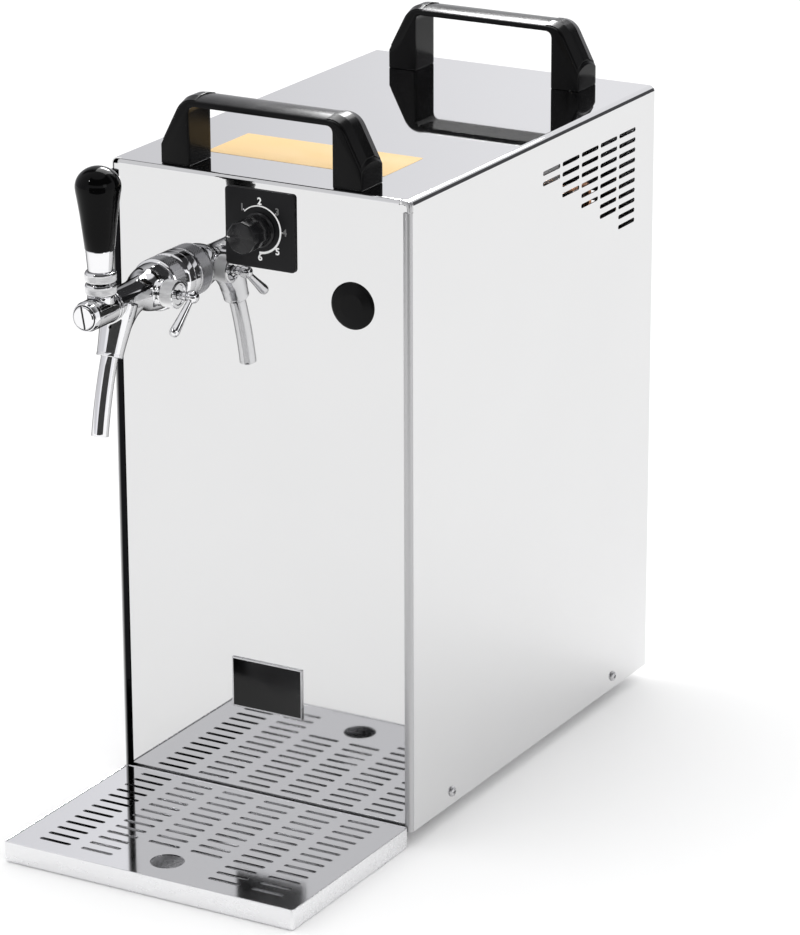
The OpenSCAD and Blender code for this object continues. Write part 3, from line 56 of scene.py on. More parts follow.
MM = 0.001
TURN = 2 * math.pi
UP = Vector((0, 0, 1))
FRONT = Vector((0, -1, 0))
RIGHT = Vector((1, 0, 0))


def middle(node):
    """Middle of a CAD node's box."""
    low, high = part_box(node)
    return (low + high) / 2


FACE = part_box("front_panel")[0].y
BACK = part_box("rear_panel")[1].y
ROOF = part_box("outer_cover")[1].z
TAP = Vector((middle("coupling_nut").x, FACE, middle("coupling_nut").z))
DIAL = Vector((middle("thermostat_plate").x, FACE, middle("thermostat_plate").z))

# Places along the tap: the compensator's axle, the neck with its lean, and the foot of the lever's axis
AXLE = TAP + FRONT * 36.5 * MM
NECK = TAP + FRONT * 70.7 * MM
NECK_LEAN = math.radians(22)
NECK_DOWN = Vector((0, -math.sin(NECK_LEAN), -math.cos(NECK_LEAN)))
LEVER_REACH = 94.5 * MM
LEVER = Vector((TAP.x, FACE - LEVER_REACH, 0))


def length(name, about, default):
    """A property that holds a length in metres."""
    return FloatProperty(name=name, description=about, default=default, min=0, precision=5,
                         unit="LENGTH", subtype="DISTANCE")


def tint(name, about, default):
    """A property that holds a colour."""
    return FloatVectorProperty(name=name, description=about, default=default, size=3, min=0, max=1,
                               subtype="COLOR")


class DispenserSizes(bpy.types.PropertyGroup):
    """Sizes of the pieces that are modelled over the CAD frame."""
    label_width: length("Label width", "Width of the paper label on the roof", 0.148)
    label_depth: length("Label depth", "Depth of the paper label on the roof", 0.058)
    label_middle: length("Label distance", "Distance of the label's middle from the front panel", 0.076)
    numeral_height: length("Numeral height", "Height of the numerals on the dial plate", 0.0052)
    numeral_radius: length("Numeral radius", "Distance of the numerals from the dial's axis", 0.0206)
    scale_radius: length("Scale radius", "Radius of the printed arc on the dial plate", 0.0173)
    badge_border: length("Badge border", "Width of the bright border of the badge", 0.0011)
    handle_edge: length("Handle edge", "Edge radius of the carry handles", 0.0009)
    handle_crown: length("Handle crown", "How much lower the grip is along its edges", 0.0022)
    cap_rise: length("Cap rise", "How far the handle caps stand proud", 0.0008)
    knurl_pitch: length("Knurl pitch", "Distance between the knurl's diamonds", 0.0023)
    knurl_depth: length("Knurl depth", "Height of the knurl's diamonds", 0.0007)
    thread_pitch: length("Thread pitch", "Pitch of the beer inlet's thread", 0.0018)


class DispenserColours(bpy.types.PropertyGroup):
    """Colours of the finishes."""
    steel: tint("Steel", "Polished stainless sheet", (0.72, 0.72, 0.722))
    chrome: tint("Chrome", "Chromed brass of the tap", (0.86, 0.86, 0.87))
    zinc: tint("Zinc", "Plated screws", (0.62, 0.62, 0.63))
    black: tint("Black plastic", "Moulded plastic of the handles", (0.003, 0.003, 0.0032))
    gloss: tint("Gloss black", "Lever knob", (0.0015, 0.0015, 0.0016))
    dial: tint("Dial black", "Dial plate", (0.010, 0.010, 0.011))
    paper: tint("Label paper", "Paper label on the roof", (0.90, 0.64, 0.32))
    print: tint("Print", "Numerals and scale", (0.85, 0.85, 0.85))
    # A dim grey that numerals 1, 3 and 4 are given in place of the bright print.
    dim_print: tint("Dim print", "Numerals that are rubbed pale", (0.16, 0.16, 0.16))
    rubber: tint("Rubber", "Feet and mounts", (0.020, 0.020, 0.021))
    copper: tint("Copper", "Refrigerant lines", (0.72, 0.38, 0.22))
    aluminium: tint("Aluminium", "Fins and cooling block", (0.66, 0.67, 0.68))
    foam: tint("Foam", "Insulation", (0.72, 0.60, 0.34))
    floor: tint("Floor", "Studio floor", (0.93, 0.93, 0.93))


# Modelling


def clear_selection():
    """Leaves edit mode and selects nothing."""
    if bpy.context.object and bpy.context.object.mode != "OBJECT":
        bpy.ops.object.mode_set(mode="OBJECT")
    bpy.ops.object.select_all(action="DESELECT")


def only(obj):
    """Selects one object and makes it the active one."""
    clear_selection()
    obj.select_set(True)
    bpy.context.view_layer.objects.active = obj


def edit(obj):
    """Opens one object in edit mode."""
    only(obj)
    bpy.ops.object.mode_set(mode="EDIT")


def done():
    """Goes back to object mode."""
    bpy.ops.object.mode_set(mode="OBJECT")


def named(name):
    """Names the new object and its mesh."""
    obj = bpy.context.object
    obj.name = name
    obj.data.name = name
    return obj


def pick(obj, kind, test):
    """Selects the vertices, edges or faces that pass a test."""
    bpy.ops.mesh.select_mode(type=kind)
    bpy.ops.mesh.select_all(action="DESELECT")
    mesh = bmesh.from_edit_mesh(obj.data)
    parts = {"VERT": mesh.verts, "EDGE": mesh.edges, "FACE": mesh.faces}[kind]
    parts.ensure_lookup_table()
    for part in parts:
        if test(part):
            part.select_set(True)
    mesh.select_flush_mode()
    bmesh.update_edit_mesh(obj.data)


def everything():
    """Selects the whole mesh."""
    bpy.ops.mesh.select_all(action="SELECT")


def extrude(move):
    """Extrudes the selection along a vector."""
    bpy.ops.mesh.extrude_region_move(TRANSFORM_OT_translate={"value": move})


def weld():
    """Merges the points that lie on each other."""
    everything()
    bpy.ops.mesh.remove_doubles(threshold=2e-6)


def tidy():
    """Merges doubles and turns the faces outwards."""
    weld()
    bpy.ops.mesh.normals_make_consistent(inside=False)


def trace(name, points):
    """Draws a chain of edges by extruding one vertex from point to point, and stays in edit mode."""
    clear_selection()
    bpy.ops.mesh.primitive_plane_add(size=MM, location=points[0])
    obj = named(name)
    bpy.ops.object.transform_apply(location=True)
    bpy.ops.object.mode_set(mode="EDIT")
    bpy.ops.mesh.select_mode(type="VERT")
    everything()
    bpy.ops.mesh.merge(type="CENTER")
    for here, there in zip(points, points[1:]):
        extrude(there - here)
    return obj


def rounded(points, radius, steps=5):
    """Points of a flat line whose inner corners are rounded; radius is one number or one for each point."""
    radii = radius if isinstance(radius, (list, tuple)) else [radius] * len(points)
    made = [Vector(points[0])]
    for before, corner, after, r in zip(points, points[1:], points[2:], radii[1:]):
        corner = Vector(corner)
        a = Vector(before) - corner
        b = Vector(after) - corner
        angle = a.angle(b)
        if r <= 0 or angle > math.pi - 0.01:
            made.append(corner)
            continue
        back = min(r / math.tan(angle / 2), 0.49 * a.length, 0.49 * b.length)
        start = corner + a.normalized() * back
        end = corner + b.normalized() * back
        for i in range(steps + 1):
            t = i / steps
            made.append((1 - t) ** 2 * start + 2 * t * (1 - t) * corner + t * t * end)
    made.append(Vector(points[-1]))
    return made


def card(half_wide, half_tall, radius):
    """Points of a rectangle with rounded corners, in millimetres about its middle."""
    w, t = half_wide, half_tall
    return rounded([(0, -t), (w, -t), (w, t), (-w, t), (-w, -t), (0, -t)], radius, 5)[:-1]


def upright(points, spot):
    """Stands flat points, in millimetres, up in the plane that faces the front at a spot."""
    return [spot + Vector((p[0], 0, p[1])) * MM for p in points]


def turned(name, profile, origin, along, steps=72, closed=False):
    """A turned piece: its profile of (radius, distance along the axis) in millimetres is traced and spun."""
    along = Vector(along).normalized()
    out = (RIGHT if abs(along.x) < 0.9 else UP)
    out = (out - along * out.dot(along)).normalized()
    line = list(profile) + ([profile[0]] if closed else [])
    points = [Vector(origin) + out * p[0] * MM + along * p[1] * MM for p in line]
    obj = trace(name, points)
    everything()
    bpy.ops.mesh.spin(steps=steps, angle=TURN, center=origin, axis=along)
    tidy()
    done()
    return obj


def prism(name, outline, depth):
    """A flat outline of points, filled and extruded along a vector."""
    obj = trace(name, outline)
    everything()
    bpy.ops.mesh.edge_face_add()
    extrude(depth)
    tidy()
    done()
    return obj


def lofted(name, loops):
    """A closed skin through outlines of equally many points that follow each other from front to back."""
    rings = []
    for i, loop in enumerate(loops):
        ring = trace("%s_%d" % (name, i), loop + [loop[0]])
        weld()
        done()
        rings.append(ring)
    skin = joined(name, rings)
    edit(skin)
    planes = [loop[0].y for loop in loops]

    def within(edge, y):
        return all(abs(v.co.y - y) < 1e-6 for v in edge.verts)

    for here, there in zip(planes, planes[1:]):
        pick(skin, "EDGE", lambda e: within(e, here) or within(e, there))
        bpy.ops.mesh.bridge_edge_loops()
    for end in (planes[0], planes[-1]):
        pick(skin, "EDGE", lambda e: within(e, end))
        bpy.ops.mesh.edge_face_add()
    tidy()
    done()
    return skin


def apply(obj, kind, **values):
    """Adds a modifier with its values and applies it."""
    only(obj)
    made = obj.modifiers.new(kind.title(), kind)
    for key, value in values.items():
        setattr(made, key, value)
    bpy.ops.object.modifier_apply(modifier=made.name)


def soften(obj, width, segments=3, angle=30):
    """Rounds the sharp edges."""
    apply(obj, "BEVEL", width=width, segments=segments, limit_method="ANGLE",
          angle_limit=math.radians(angle), harden_normals=False)


def smooth(obj, angle=40):
    """Shades the faces smooth up to an angle."""
    only(obj)
    bpy.ops.object.shade_smooth_by_angle(angle=math.radians(angle))


def joined(name, pieces):
    """Joins pieces into the first one."""
    clear_selection()
    for piece in pieces:
        piece.select_set(True)
    bpy.context.view_layer.objects.active = pieces[0]
    bpy.ops.object.join()
    return named(name)


def copied(obj, name, move=(0, 0, 0), flip=False):
    """A copy with its own mesh, moved, and mirrored to the other side if asked."""
    only(obj)
    bpy.ops.object.duplicate(linked=False)
    twin = named(name)
    bpy.ops.object.mode_set(mode="EDIT")
    everything()
    if flip:
        bpy.ops.transform.resize(value=(-1, 1, 1), center_override=(0, 0, 0))
        bpy.ops.mesh.flip_normals()
    bpy.ops.transform.translate(value=move)
    done()
    return twin


def cut(obj, tool, operation="DIFFERENCE"):
    """Takes a tool's shape out of a piece, or keeps only what lies within it."""
    apply(obj, "BOOLEAN", operation=operation, object=tool, solver="EXACT")
    bpy.data.objects.remove(tool)


def brick(name, low, high):
    """A tool or blank between two corners."""
    clear_selection()
    low, high = Vector(low), Vector(high)
    bpy.ops.mesh.primitive_cube_add(size=1, location=(low + high) / 2, scale=high - low)
    bpy.ops.object.transform_apply(location=True, scale=True)
    return named(name)


def trued(obj, origin, along, line):
    """Draws the points that lie near a turned shape onto it, so that its surface runs clean."""
    along = Vector(along).normalized()
    for point in obj.data.vertices:
        away = point.co - origin
        reach = away.dot(along)
        off = away - along * reach
        for (r0, a0), (r1, a1) in zip(line, line[1:]):
            if a0 <= reach / MM < a1:
                move = (r0 + (r1 - r0) * (reach / MM - a0) / (a1 - a0)) * MM - off.length
                pull = max(0, min(1, 2 - abs(move) / (0.3 * MM)))
                point.co += off.normalized() * move * pull
                break


def hoop(name, points, radius, spot, along):
    """A circle of edges across an axis, left open in edit mode."""
    clear_selection()
    bpy.ops.mesh.primitive_circle_add(vertices=points, radius=radius * MM)
    obj = named(name)
    obj.matrix_world = Matrix.Translation(spot) @ along.to_track_quat("Z", "Y").to_matrix().to_4x4()
    bpy.ops.object.transform_apply(location=True, rotation=True)
    bpy.ops.object.mode_set(mode="EDIT")
    return obj


def knurled(name, radius, start, width, origin, along, pitch, depth):
    """A knurled band: a tube of squares, turned into diamonds that are drawn up to points."""
    along = Vector(along).normalized()
    columns = max(24, round(TURN * radius * MM / pitch))
    rows = max(2, round(width * MM / pitch))
    obj = hoop(name, columns, radius, Vector(origin) + along * start * MM, along)
    bpy.ops.mesh.select_mode(type="EDGE")
    everything()
    for _ in range(rows):
        extrude(along * width * MM / rows)
    bpy.ops.mesh.select_mode(type="FACE")
    everything()
    bpy.ops.mesh.normals_make_consistent(inside=False)
    mesh = bmesh.from_edit_mesh(obj.data)
    mesh.faces.ensure_lookup_table()
    face = mesh.faces[0]
    off_axis = face.calc_center_median() - Vector(origin)
    off_axis -= along * off_axis.dot(along)
    if face.normal.dot(off_axis) < 0:
        bpy.ops.mesh.flip_normals()
    first = len(mesh.verts)
    bpy.ops.mesh.poke(offset=0)
    pick(obj, "EDGE", lambda e: not e.is_boundary and all(v.index < first for v in e.verts))
    bpy.ops.mesh.dissolve_edges(use_verts=False)
    pick(obj, "FACE", lambda f: len(f.verts) == 4)
    bpy.ops.mesh.poke(offset=depth)
    done()
    return obj


def knurled_nut(name, profile, origin, along, band, grip, steps=72):
    """A turned nut with a knurled band of (radius, start, width, pitch, depth) in the finish of its grip."""
    radius, start, width, pitch, depth = band
    nut = turned(name + "_body", profile, origin, along, steps, True)
    knurl = knurled(name + "_knurl", radius, start, width, origin, along, pitch, depth)
    nut.data.materials.append(FINISHES["chrome"])
    knurl.data.materials.append(FINISHES[grip])
    nut = joined(name, [nut, knurl])
    smooth(nut, 24)
    return nut


def finished(obj, finish, body, slot, *stands_for):
    """Gives a piece its finish and its body, and hides the CAD nodes that it stands for; its slot is not
    used.
    """
    if finish is not None:
        obj.data.materials.clear()
        obj.data.materials.append(FINISHES[finish])
    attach(obj, body)
    if stands_for:
        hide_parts(*stands_for)
    return obj


# Finishes


def add(tree, kind, values, **settings):
    """Adds a shader node: settings go on the node itself, values and links on its sockets."""
    made = tree.nodes.new("ShaderNode" + kind)
    for key, value in settings.items():
        setattr(made, key, value)
    for key, value in values.items():
        if isinstance(value, bpy.types.NodeSocket):
            tree.links.new(value, made.inputs[key])
        else:
            made.inputs[key].default_value = value
    return made


def span(tree, value, start, end, low=0.0, high=1.0, way="LINEAR"):
    """Maps what lies between start and end onto low to high."""
    return add(tree, "MapRange", {"Value": value, "From Min": start, "From Max": end, "To Min": low,
                                  "To Max": high}, interpolation_type=way).outputs["Result"]


def soft_step(tree, value, start, end):
    """A soft step from 0 at start to 1 at end."""
    return span(tree, value, start, end, way="SMOOTHSTEP")


def times(tree, first, *others):
    """The product of values."""
    for other in others:
        first = add(tree, "Math", {0: first, 1: other}, operation="MULTIPLY").outputs[0]
    return first


def blend(tree, kind, mask, first, second):
    """Mixes two colours or values by a mask."""
    return add(tree, "Mix", {"Factor": mask, "A": first, "B": second}, data_type=kind).outputs["Result"]


def surface_group(name, values):
    """A new group that takes a place and some values, to put out a roughness, a height and a cloud."""
    group = bpy.data.node_groups.new(name, "ShaderNodeTree")
    face = group.interface
    face.new_socket("Place", in_out="INPUT", socket_type="NodeSocketVector")
    for key, value in values.items():
        kind = "NodeSocketVector" if isinstance(value, tuple) else "NodeSocketFloat"
        face.new_socket(key, in_out="INPUT", socket_type=kind).default_value = value
    for key in ("Roughness", "Height", "Cloud"):
        face.new_socket(key, in_out="OUTPUT", socket_type="NodeSocketFloat")
    return group, group.nodes.new("NodeGroupInput").outputs, group.nodes.new("NodeGroupOutput").inputs


def marks_group():
    """Faint marks of rolling and wiping on sheet metal: a roughness, a height and a cloud of smudges."""
    group, given, told = surface_group("sheet_marks", {"Streak Scale": 60.0, "Smudge Scale": 9.0, "Low": 0.03,
                                                       "High": 0.09, "Stretch": (1, 1, 1)})
    stretch = add(group, "VectorMath", {0: given["Place"], 1: given["Stretch"]}, operation="MULTIPLY")
    streak = add(group, "TexNoise", {"Vector": stretch.outputs[0], "Scale": given["Streak Scale"],
                                     "Detail": 3}).outputs["Fac"]
    smudge = add(group, "TexNoise", {"Vector": given["Place"], "Scale": given["Smudge Scale"], "Detail": 4,
                                     "Roughness": 0.6}).outputs["Fac"]
    rough = span(group, times(group, streak, smudge), 0.12, 0.42, given["Low"], given["High"])
    for key, value in (("Roughness", rough), ("Height", streak), ("Cloud", smudge)):
        group.links.new(value, told[key])
    return group


def grain_group():
    """The eroded grain of a moulding or casting: a roughness, a height and a cloud of paler dust."""
    group, given, told = surface_group("mould_grain", {"Grain Scale": 1400.0, "Cloud Scale": 40.0,
                                                       "Low": 0.25, "High": 0.4})
    grain = add(group, "TexVoronoi", {"Vector": given["Place"], "Scale": given["Grain Scale"],
                                      "Randomness": 1})
    cloud = add(group, "TexNoise", {"Vector": given["Place"], "Scale": given["Cloud Scale"],
                                    "Detail": 5}).outputs["Fac"]
    rough = span(group, cloud, 0.3, 0.7, given["Low"], given["High"])
    for key, value in (("Roughness", rough), ("Height", grain.outputs["Distance"]), ("Cloud", cloud)):
        group.links.new(value, told[key])
    return group


def finish(name, group, colour, darker, values, height, metallic=0.0, **direct):
    """A finish: a group gives the roughness, the height and the cloud that mixes two tones of its colour."""
    made = bpy.data.materials.new(name)
    made.use_nodes = True
    tree = made.node_tree
    shader = tree.nodes["Principled BSDF"].inputs
    shader["Metallic"].default_value = metallic
    for key, value in direct.items():
        shader[key.replace("_", " ")].default_value = value
    place = add(tree, "TexCoord", {}).outputs["Object"]
    marks = add(tree, "Group", {"Place": place, **values}, node_tree=group).outputs
    tone = blend(tree, "RGBA", marks["Cloud"], (*[c * darker for c in colour], 1), (*colour, 1))
    bump = add(tree, "Bump", {"Height": marks["Height"], "Strength": height[0], "Distance": height[1]})
    for key, value in (("Base Color", tone), ("Roughness", marks["Roughness"]),
                       ("Normal", bump.outputs["Normal"])):
        tree.links.new(value, shader[key])
    return made


def painted_fold_shade(made):
    """Paints shade as a dark tone into the deep fold along the left edge of the front, and gives the right
    edge's fold a rougher finish and a darker tone painted on to dim its reflection.
    """
    tree = made.node_tree
    shader = tree.nodes["Principled BSDF"].inputs
    place = add(tree, "SeparateXYZ", {0: tree.nodes["Texture Coordinate"].outputs["Object"]}).outputs
    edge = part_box("outer_cover")[1].x
    # Painted shade for the deep left fold, a darker grey painted on the right fold to dim its reflection, and
    # the rougher finish of that fold.
    dark, painted_dim_reflection, satin_roughness = (0.008, 0.008, 0.009, 1), (0.5, 0.5, 0.505, 1), 0.42

    def mask(*spans):
        return times(tree, *[soft_step(tree, place[axis], start, end) for axis, start, end in spans])

    # Where the painted shade lies: a strip down the left fold.
    left = mask(("X", 0.1 * MM - edge, 4 * MM - edge), ("X", 7.4 * MM - edge, 6.8 * MM - edge),
                ("Y", FACE + MM, FACE + 0.3 * MM))
    # Where the right fold gets its painted darker tone and its rougher finish.
    right = mask(("X", edge - 7.2 * MM, edge - 6.6 * MM), ("Y", FACE + 1.5 * MM, FACE + 0.8 * MM))
    for kind, key, where, value in (("RGBA", "Base Color", left, dark), ("RGBA", "Base Color", right, painted_dim_reflection),
                                    ("FLOAT", "Roughness", right, satin_roughness)):
        tree.links.new(blend(tree, kind, where, shader[key].links[0].from_socket, value), shader[key])
    return made


def make_finishes(colours):
    """All finishes by name."""
    marks, grain = marks_group(), grain_group()

    def sheet(name, colour, low, high, streak=60.0, stretch=(1, 1, 1), height=(0.02, 0.0004), darker=0.97,
              **direct):
        return finish(name, marks, colour, darker,
                      {"Streak Scale": streak, "Low": low, "High": high, "Stretch": stretch},
                      height, metallic=1.0, **direct)

    def moulded(name, colour, low, high, scale=1400.0, height=(0.12, 0.00006), darker=0.8, **direct):
        return finish(name, grain, colour, darker, {"Grain Scale": scale, "Low": low, "High": high},
                      height, **direct)

    steel, chrome = colours.steel, colours.chrome
    return {
        "mirror_steel": sheet("mirror_steel", steel, 0.015, 0.045, 7.0, (1, 1, 0.4), (0.05, 0.0004)),
        # The cover's steel carries the painted shade and the painted darker tone of the front folds.
        "cover_steel": painted_fold_shade(sheet("cover_steel", steel, 0.015, 0.04, 6.0, (1, 0.5, 1),
                                         (0.04, 0.0004))),
        "tray_steel": sheet("tray_steel", chrome, 0.20, 0.34, 320.0, (0.3, 1, 1), (0.03, 0.00006), 0.95),
        "grate_steel": sheet("grate_steel", chrome, 0.05, 0.12, 12.0, (1, 0.3, 1), (0.03, 0.0003)),
        "chrome": sheet("chrome", chrome, 0.015, 0.05, 30.0, (1, 1, 1), (0.012, 0.0002),
                        Specular_Tint=(0.02, 0.02, 0.02, 1)),
        # The knurl's dark tone is painted shade that stands for its shadowed grooves.
        "knurl": sheet("knurl", (0.34, 0.34, 0.35), 0.10, 0.18, 260.0, (1, 1, 1), (0.08, 0.00005), 0.90),
        "fine_knurl": sheet("fine_knurl", (0.95, 0.95, 0.95), 0.38, 0.52, 260.0, (1, 1, 1), (0.08, 0.00005),
                            0.95),
        "zinc": sheet("zinc", colours.zinc, 0.22, 0.40, 200.0, (1, 1, 1), (0.05, 0.00005), 0.85),
        "aluminium": sheet("aluminium", colours.aluminium, 0.28, 0.45, 300.0, (1, 0.2, 1), (0.06, 0.00005),
                           0.8),
        "copper": sheet("copper", colours.copper, 0.2, 0.4, 120.0, (1, 1, 1), (0.05, 0.0001), 0.7),
        "black_plastic": moulded("black_plastic", colours.black, 0.18, 0.27, Specular_IOR_Level=0.11),
        "gloss_black": moulded("gloss_black", colours.gloss, 0.03, 0.07, 900.0, (0.01, 0.00003),
                               Specular_IOR_Level=0.1),
        "dial_black": moulded("dial_black", colours.dial, 0.30, 0.42, 1800.0, Specular_IOR_Level=0.15),
        "knob_black": moulded("knob_black", colours.dial, 0.16, 0.26, 1600.0, (0.06, 0.00004),
                              Specular_IOR_Level=0.3),
        "badge_black": moulded("badge_black", colours.gloss, 0.10, 0.18, 1500.0, (0.03, 0.00003),
                               Specular_IOR_Level=0.3),
        "paper": moulded("paper", colours.paper, 0.55, 0.75, 2600.0, (0.2, 0.00004), 0.93,
                         Specular_IOR_Level=0.04),
        "print": moulded("print", colours.print, 0.4, 0.5, 2000.0, (0.05, 0.00002), 0.94),
        # The dim grey print of numerals 1, 3 and 4.
        "dim_numeral_print": moulded("dim_numeral_print", colours.dim_print, 0.4, 0.5, 2000.0, (0.05, 0.00002), 0.7),
        "rubber": moulded("rubber", colours.rubber, 0.6, 0.8, 900.0, (0.3, 0.0001), 0.7),
        "foam": moulded("foam", colours.foam, 0.8, 0.95, 500.0, (0.5, 0.0004), 0.85),
        "motor_black": moulded("motor_black", colours.black, 0.35, 0.5, 700.0, (0.15, 0.0001)),
    }


FINISHES = {}
CARRIED_OVER = {
    "mirror_steel": ["front_panel"],
    "cover_steel": ["outer_cover"],
    "tray_steel": ["drip_tray", "rear_panel", "base_pan"],
    "grate_steel": ["drip_grate"],
    "chrome": ["tap_shank", "lever_stem", "valve_piston", "compensator_cone", "tap_body", "tap_front_cap",
               "tap_spout", "lever_ferrule", "compensator_lever"],
    "zinc": ["foot_screws", "handle_screws", "shank_nut", "compressor_bolts", "inlet_nut",
             "thermostat_spindle", "fan_shroud", "condenser_frame", "beer_line_in", "beer_line_out",
             "cover_screws", "rear_panel_screws", "beer_inlet"],
    "aluminium": ["condenser_fins", "cooling_block"],
    "copper": ["condenser_tube", "discharge_line", "liquid_line", "suction_line", "thermostat_bulb"],
    "rubber": ["feet", "compressor_mounts", "valve_seals"],
    "foam": ["insulation_box", "insulation_lid"],
    "motor_black": ["compressor", "fan_motor", "fan_blade", "terminal_box", "thermostat_switch", "gland_nut",
                    "cable_gland"],
    "black_plastic": ["front_handle", "rear_handle", "handle_caps", "blanking_plug"],
    "dial_black": ["thermostat_plate"],
    "knob_black": ["thermostat_knob"],
    "badge_black": ["badge_plate"],
    "gloss_black": ["lever_knob"],
    "knurl": ["coupling_nut", "bonnet_ring", "lever_ring", "compensator_nut"],
}


class DISPENSER_OT_finishes(bpy.types.Operator):
    """Make the finishes and put them on the CAD nodes"""
    bl_idname = "dispenser.finishes"
    bl_label = "Finishes"

    def execute(self, context):
        FINISHES.update(make_finishes(context.scene.dispenser_colours))
        for name, nodes in CARRIED_OVER.items():
            for node in nodes:
                NODES[node].data.materials.clear()
                NODES[node].data.materials.append(FINISHES[name])
        return {"FINISHED"}


class DISPENSER_OT_stage(bpy.types.Operator):
    """Set the camera, the floor and the studio light"""
    bl_idname = "dispenser.stage"
    bl_label = "Stage"

    def execute(self, context):
        self.camera(context)
        self.floor(context)
        self.world(context)
        self.lights(context)
        context.scene.view_settings.view_transform = "Standard"
        return {"FINISHED"}

    def camera(self, context):
        """The camera, where the photograph was taken from."""
        azimuth, elevation, roll = math.radians(29.61), math.radians(19.01), math.radians(-0.19)
        back = Vector((math.sin(azimuth) * math.cos(elevation), -math.cos(azimuth) * math.cos(elevation),
                       math.sin(elevation)))
        right = Vector((math.cos(azimuth), math.sin(azimuth), 0))
        upward = back.cross(right)
        side = math.cos(roll) * right + math.sin(roll) * upward
        top = -math.sin(roll) * right + math.cos(roll) * upward
        eye = Matrix((side, top, back)).transposed().to_4x4()
        eye.translation = Vector((1.52612, -2.60187, 1.27673))
        data = bpy.data.cameras.new("photo_camera")
        data.lens = 163.66
        data.sensor_width = 36
        data.clip_end = 50
        camera = bpy.data.objects.new("photo_camera", data)
        camera.matrix_world = eye
        context.collection.objects.link(camera)
        context.scene.camera = camera

    def floor(self, context):
        """A plain pale floor."""
        clear_selection()
        bpy.ops.mesh.primitive_plane_add(size=9)
        floor = named("studio_floor")
        made = bpy.data.materials.new("studio_floor")
        made.use_nodes = True
        shader = made.node_tree.nodes["Principled BSDF"]
        shader.inputs["Base Color"].default_value = (*context.scene.dispenser_colours.floor, 1)
        shader.inputs["Roughness"].default_value = 0.9
        shader.inputs["Specular IOR Level"].default_value = 0.1
        floor.data.materials.append(made)

    def world(self, context):
        """The room that the metal mirrors: pale walls, with a dark ceiling, corner and front."""
        world = bpy.data.worlds.new("studio")
        context.scene.world = world
        world.use_nodes = True
        tree = world.node_tree
        way = add(tree, "TexCoord", {}).outputs["Generated"]

        def toward(direction, start, end, way=way):
            dot = add(tree, "VectorMath", {0: way, 1: direction}, operation="DOT_PRODUCT")
            return soft_step(tree, dot.outputs["Value"], start, end)

        shade, sweep, room_end = (0.70, 0.70, 0.73, 1), (0.97, 0.97, 1, 1), (0.08, 0.08, 0.085, 1)
        ceiling, window, skylight = (0.05, 0.05, 0.053, 1), (0.8, 0.8, 0.82, 1), (0.85, 0.85, 0.87, 1)
        dark_front, fill, paper_white = (0.04, 0.04, 0.042, 1), (1.25, 1.25, 1.25, 1), (1, 1, 1, 1)
        flat = add(tree, "VectorMath", {0: way, 1: (1, 1, 0)}, operation="MULTIPLY").outputs[0]
        level = add(tree, "VectorMath", {0: flat}, operation="NORMALIZE").outputs[0]
        path = add(tree, "LightPath", {}).outputs
        seen = blend(tree, "RGBA", toward(RIGHT, -0.57, -0.43), shade, sweep)
        for masks, colour in (
            ((toward(UP, 0.40, 0.47), toward(FRONT, -0.6, -0.3)), ceiling),
            ((toward(-RIGHT, 0.28, 0.36), toward(FRONT, -0.3, -0.1), toward(UP, 0.2, 0.3)), window),
            ((toward(UP, 0.86, 0.92),), skylight),
            ((toward(RIGHT, 0.28, 0.36), toward(-FRONT, 0.55, 0.65), toward(UP, -0.14, -0.06)), room_end),
            ((toward(-UP, -0.22, -0.16), toward((0.494, -0.869, 0), 0.77, 0.83, level)), dark_front),
            ((path["Is Diffuse Ray"],), fill),
            ((path["Is Camera Ray"],), paper_white),
        ):
            seen = blend(tree, "RGBA", times(tree, *masks), seen, colour)
        tree.links.new(seen, tree.nodes["Background"].inputs["Color"])

    def lights(self, context):
        """The soft lights, and a black cloth in front that only the chrome mirrors."""
        for name, spot, aim, size, power in (
            ("top_softbox", (-0.25, 1.15, 2.0), (0, 0, 0.4), (1.3, 1.5), 40),
            ("rear_softbox", (-0.55, 1.4, 1.55), (0, 0, 0.5), (0.6, 0.4), 30),
            ("front_dish", (-0.9, -1.9, 2.4), (0, 0, 0.3), (0.16, 0.16), 8),
            ("right_softbox", (2.6, -1.2, 1.6), (0, 0, 0.3), (0.9, 0.9), 4),
        ):
            data = bpy.data.lights.new(name, "AREA")
            data.shape = "RECTANGLE"
            data.size, data.size_y = size
            data.energy = power
            light = bpy.data.objects.new(name, data)
            light.location = spot
            light.rotation_euler = (Vector(aim) - Vector(spot)).to_track_quat("-Z", "Y").to_euler()
            light.visible_diffuse = False
            context.collection.objects.link(light)
        black = bpy.data.materials.new("black_screen")
        black.use_nodes = True
        cloth = black.node_tree.nodes["Principled BSDF"]
        cloth.inputs["Base Color"].default_value = (0.045, 0.045, 0.045, 1)
        cloth.inputs["Roughness"].default_value = 0.95
        cloth.inputs["Specular IOR Level"].default_value = 0.05
        low, high = Vector((-0.203, -0.976, 0.24)), Vector((0.649, -0.492, 0.62))
        screen = trace("screen_front", [low, Vector((high.x, high.y, low.z))])
        everything()
        extrude((0, 0, high.z - low.z))
        done()
        screen.data.materials.append(black)
        for kind in ("camera", "diffuse", "shadow", "transmission"):
            setattr(screen, "visible_" + kind, False)


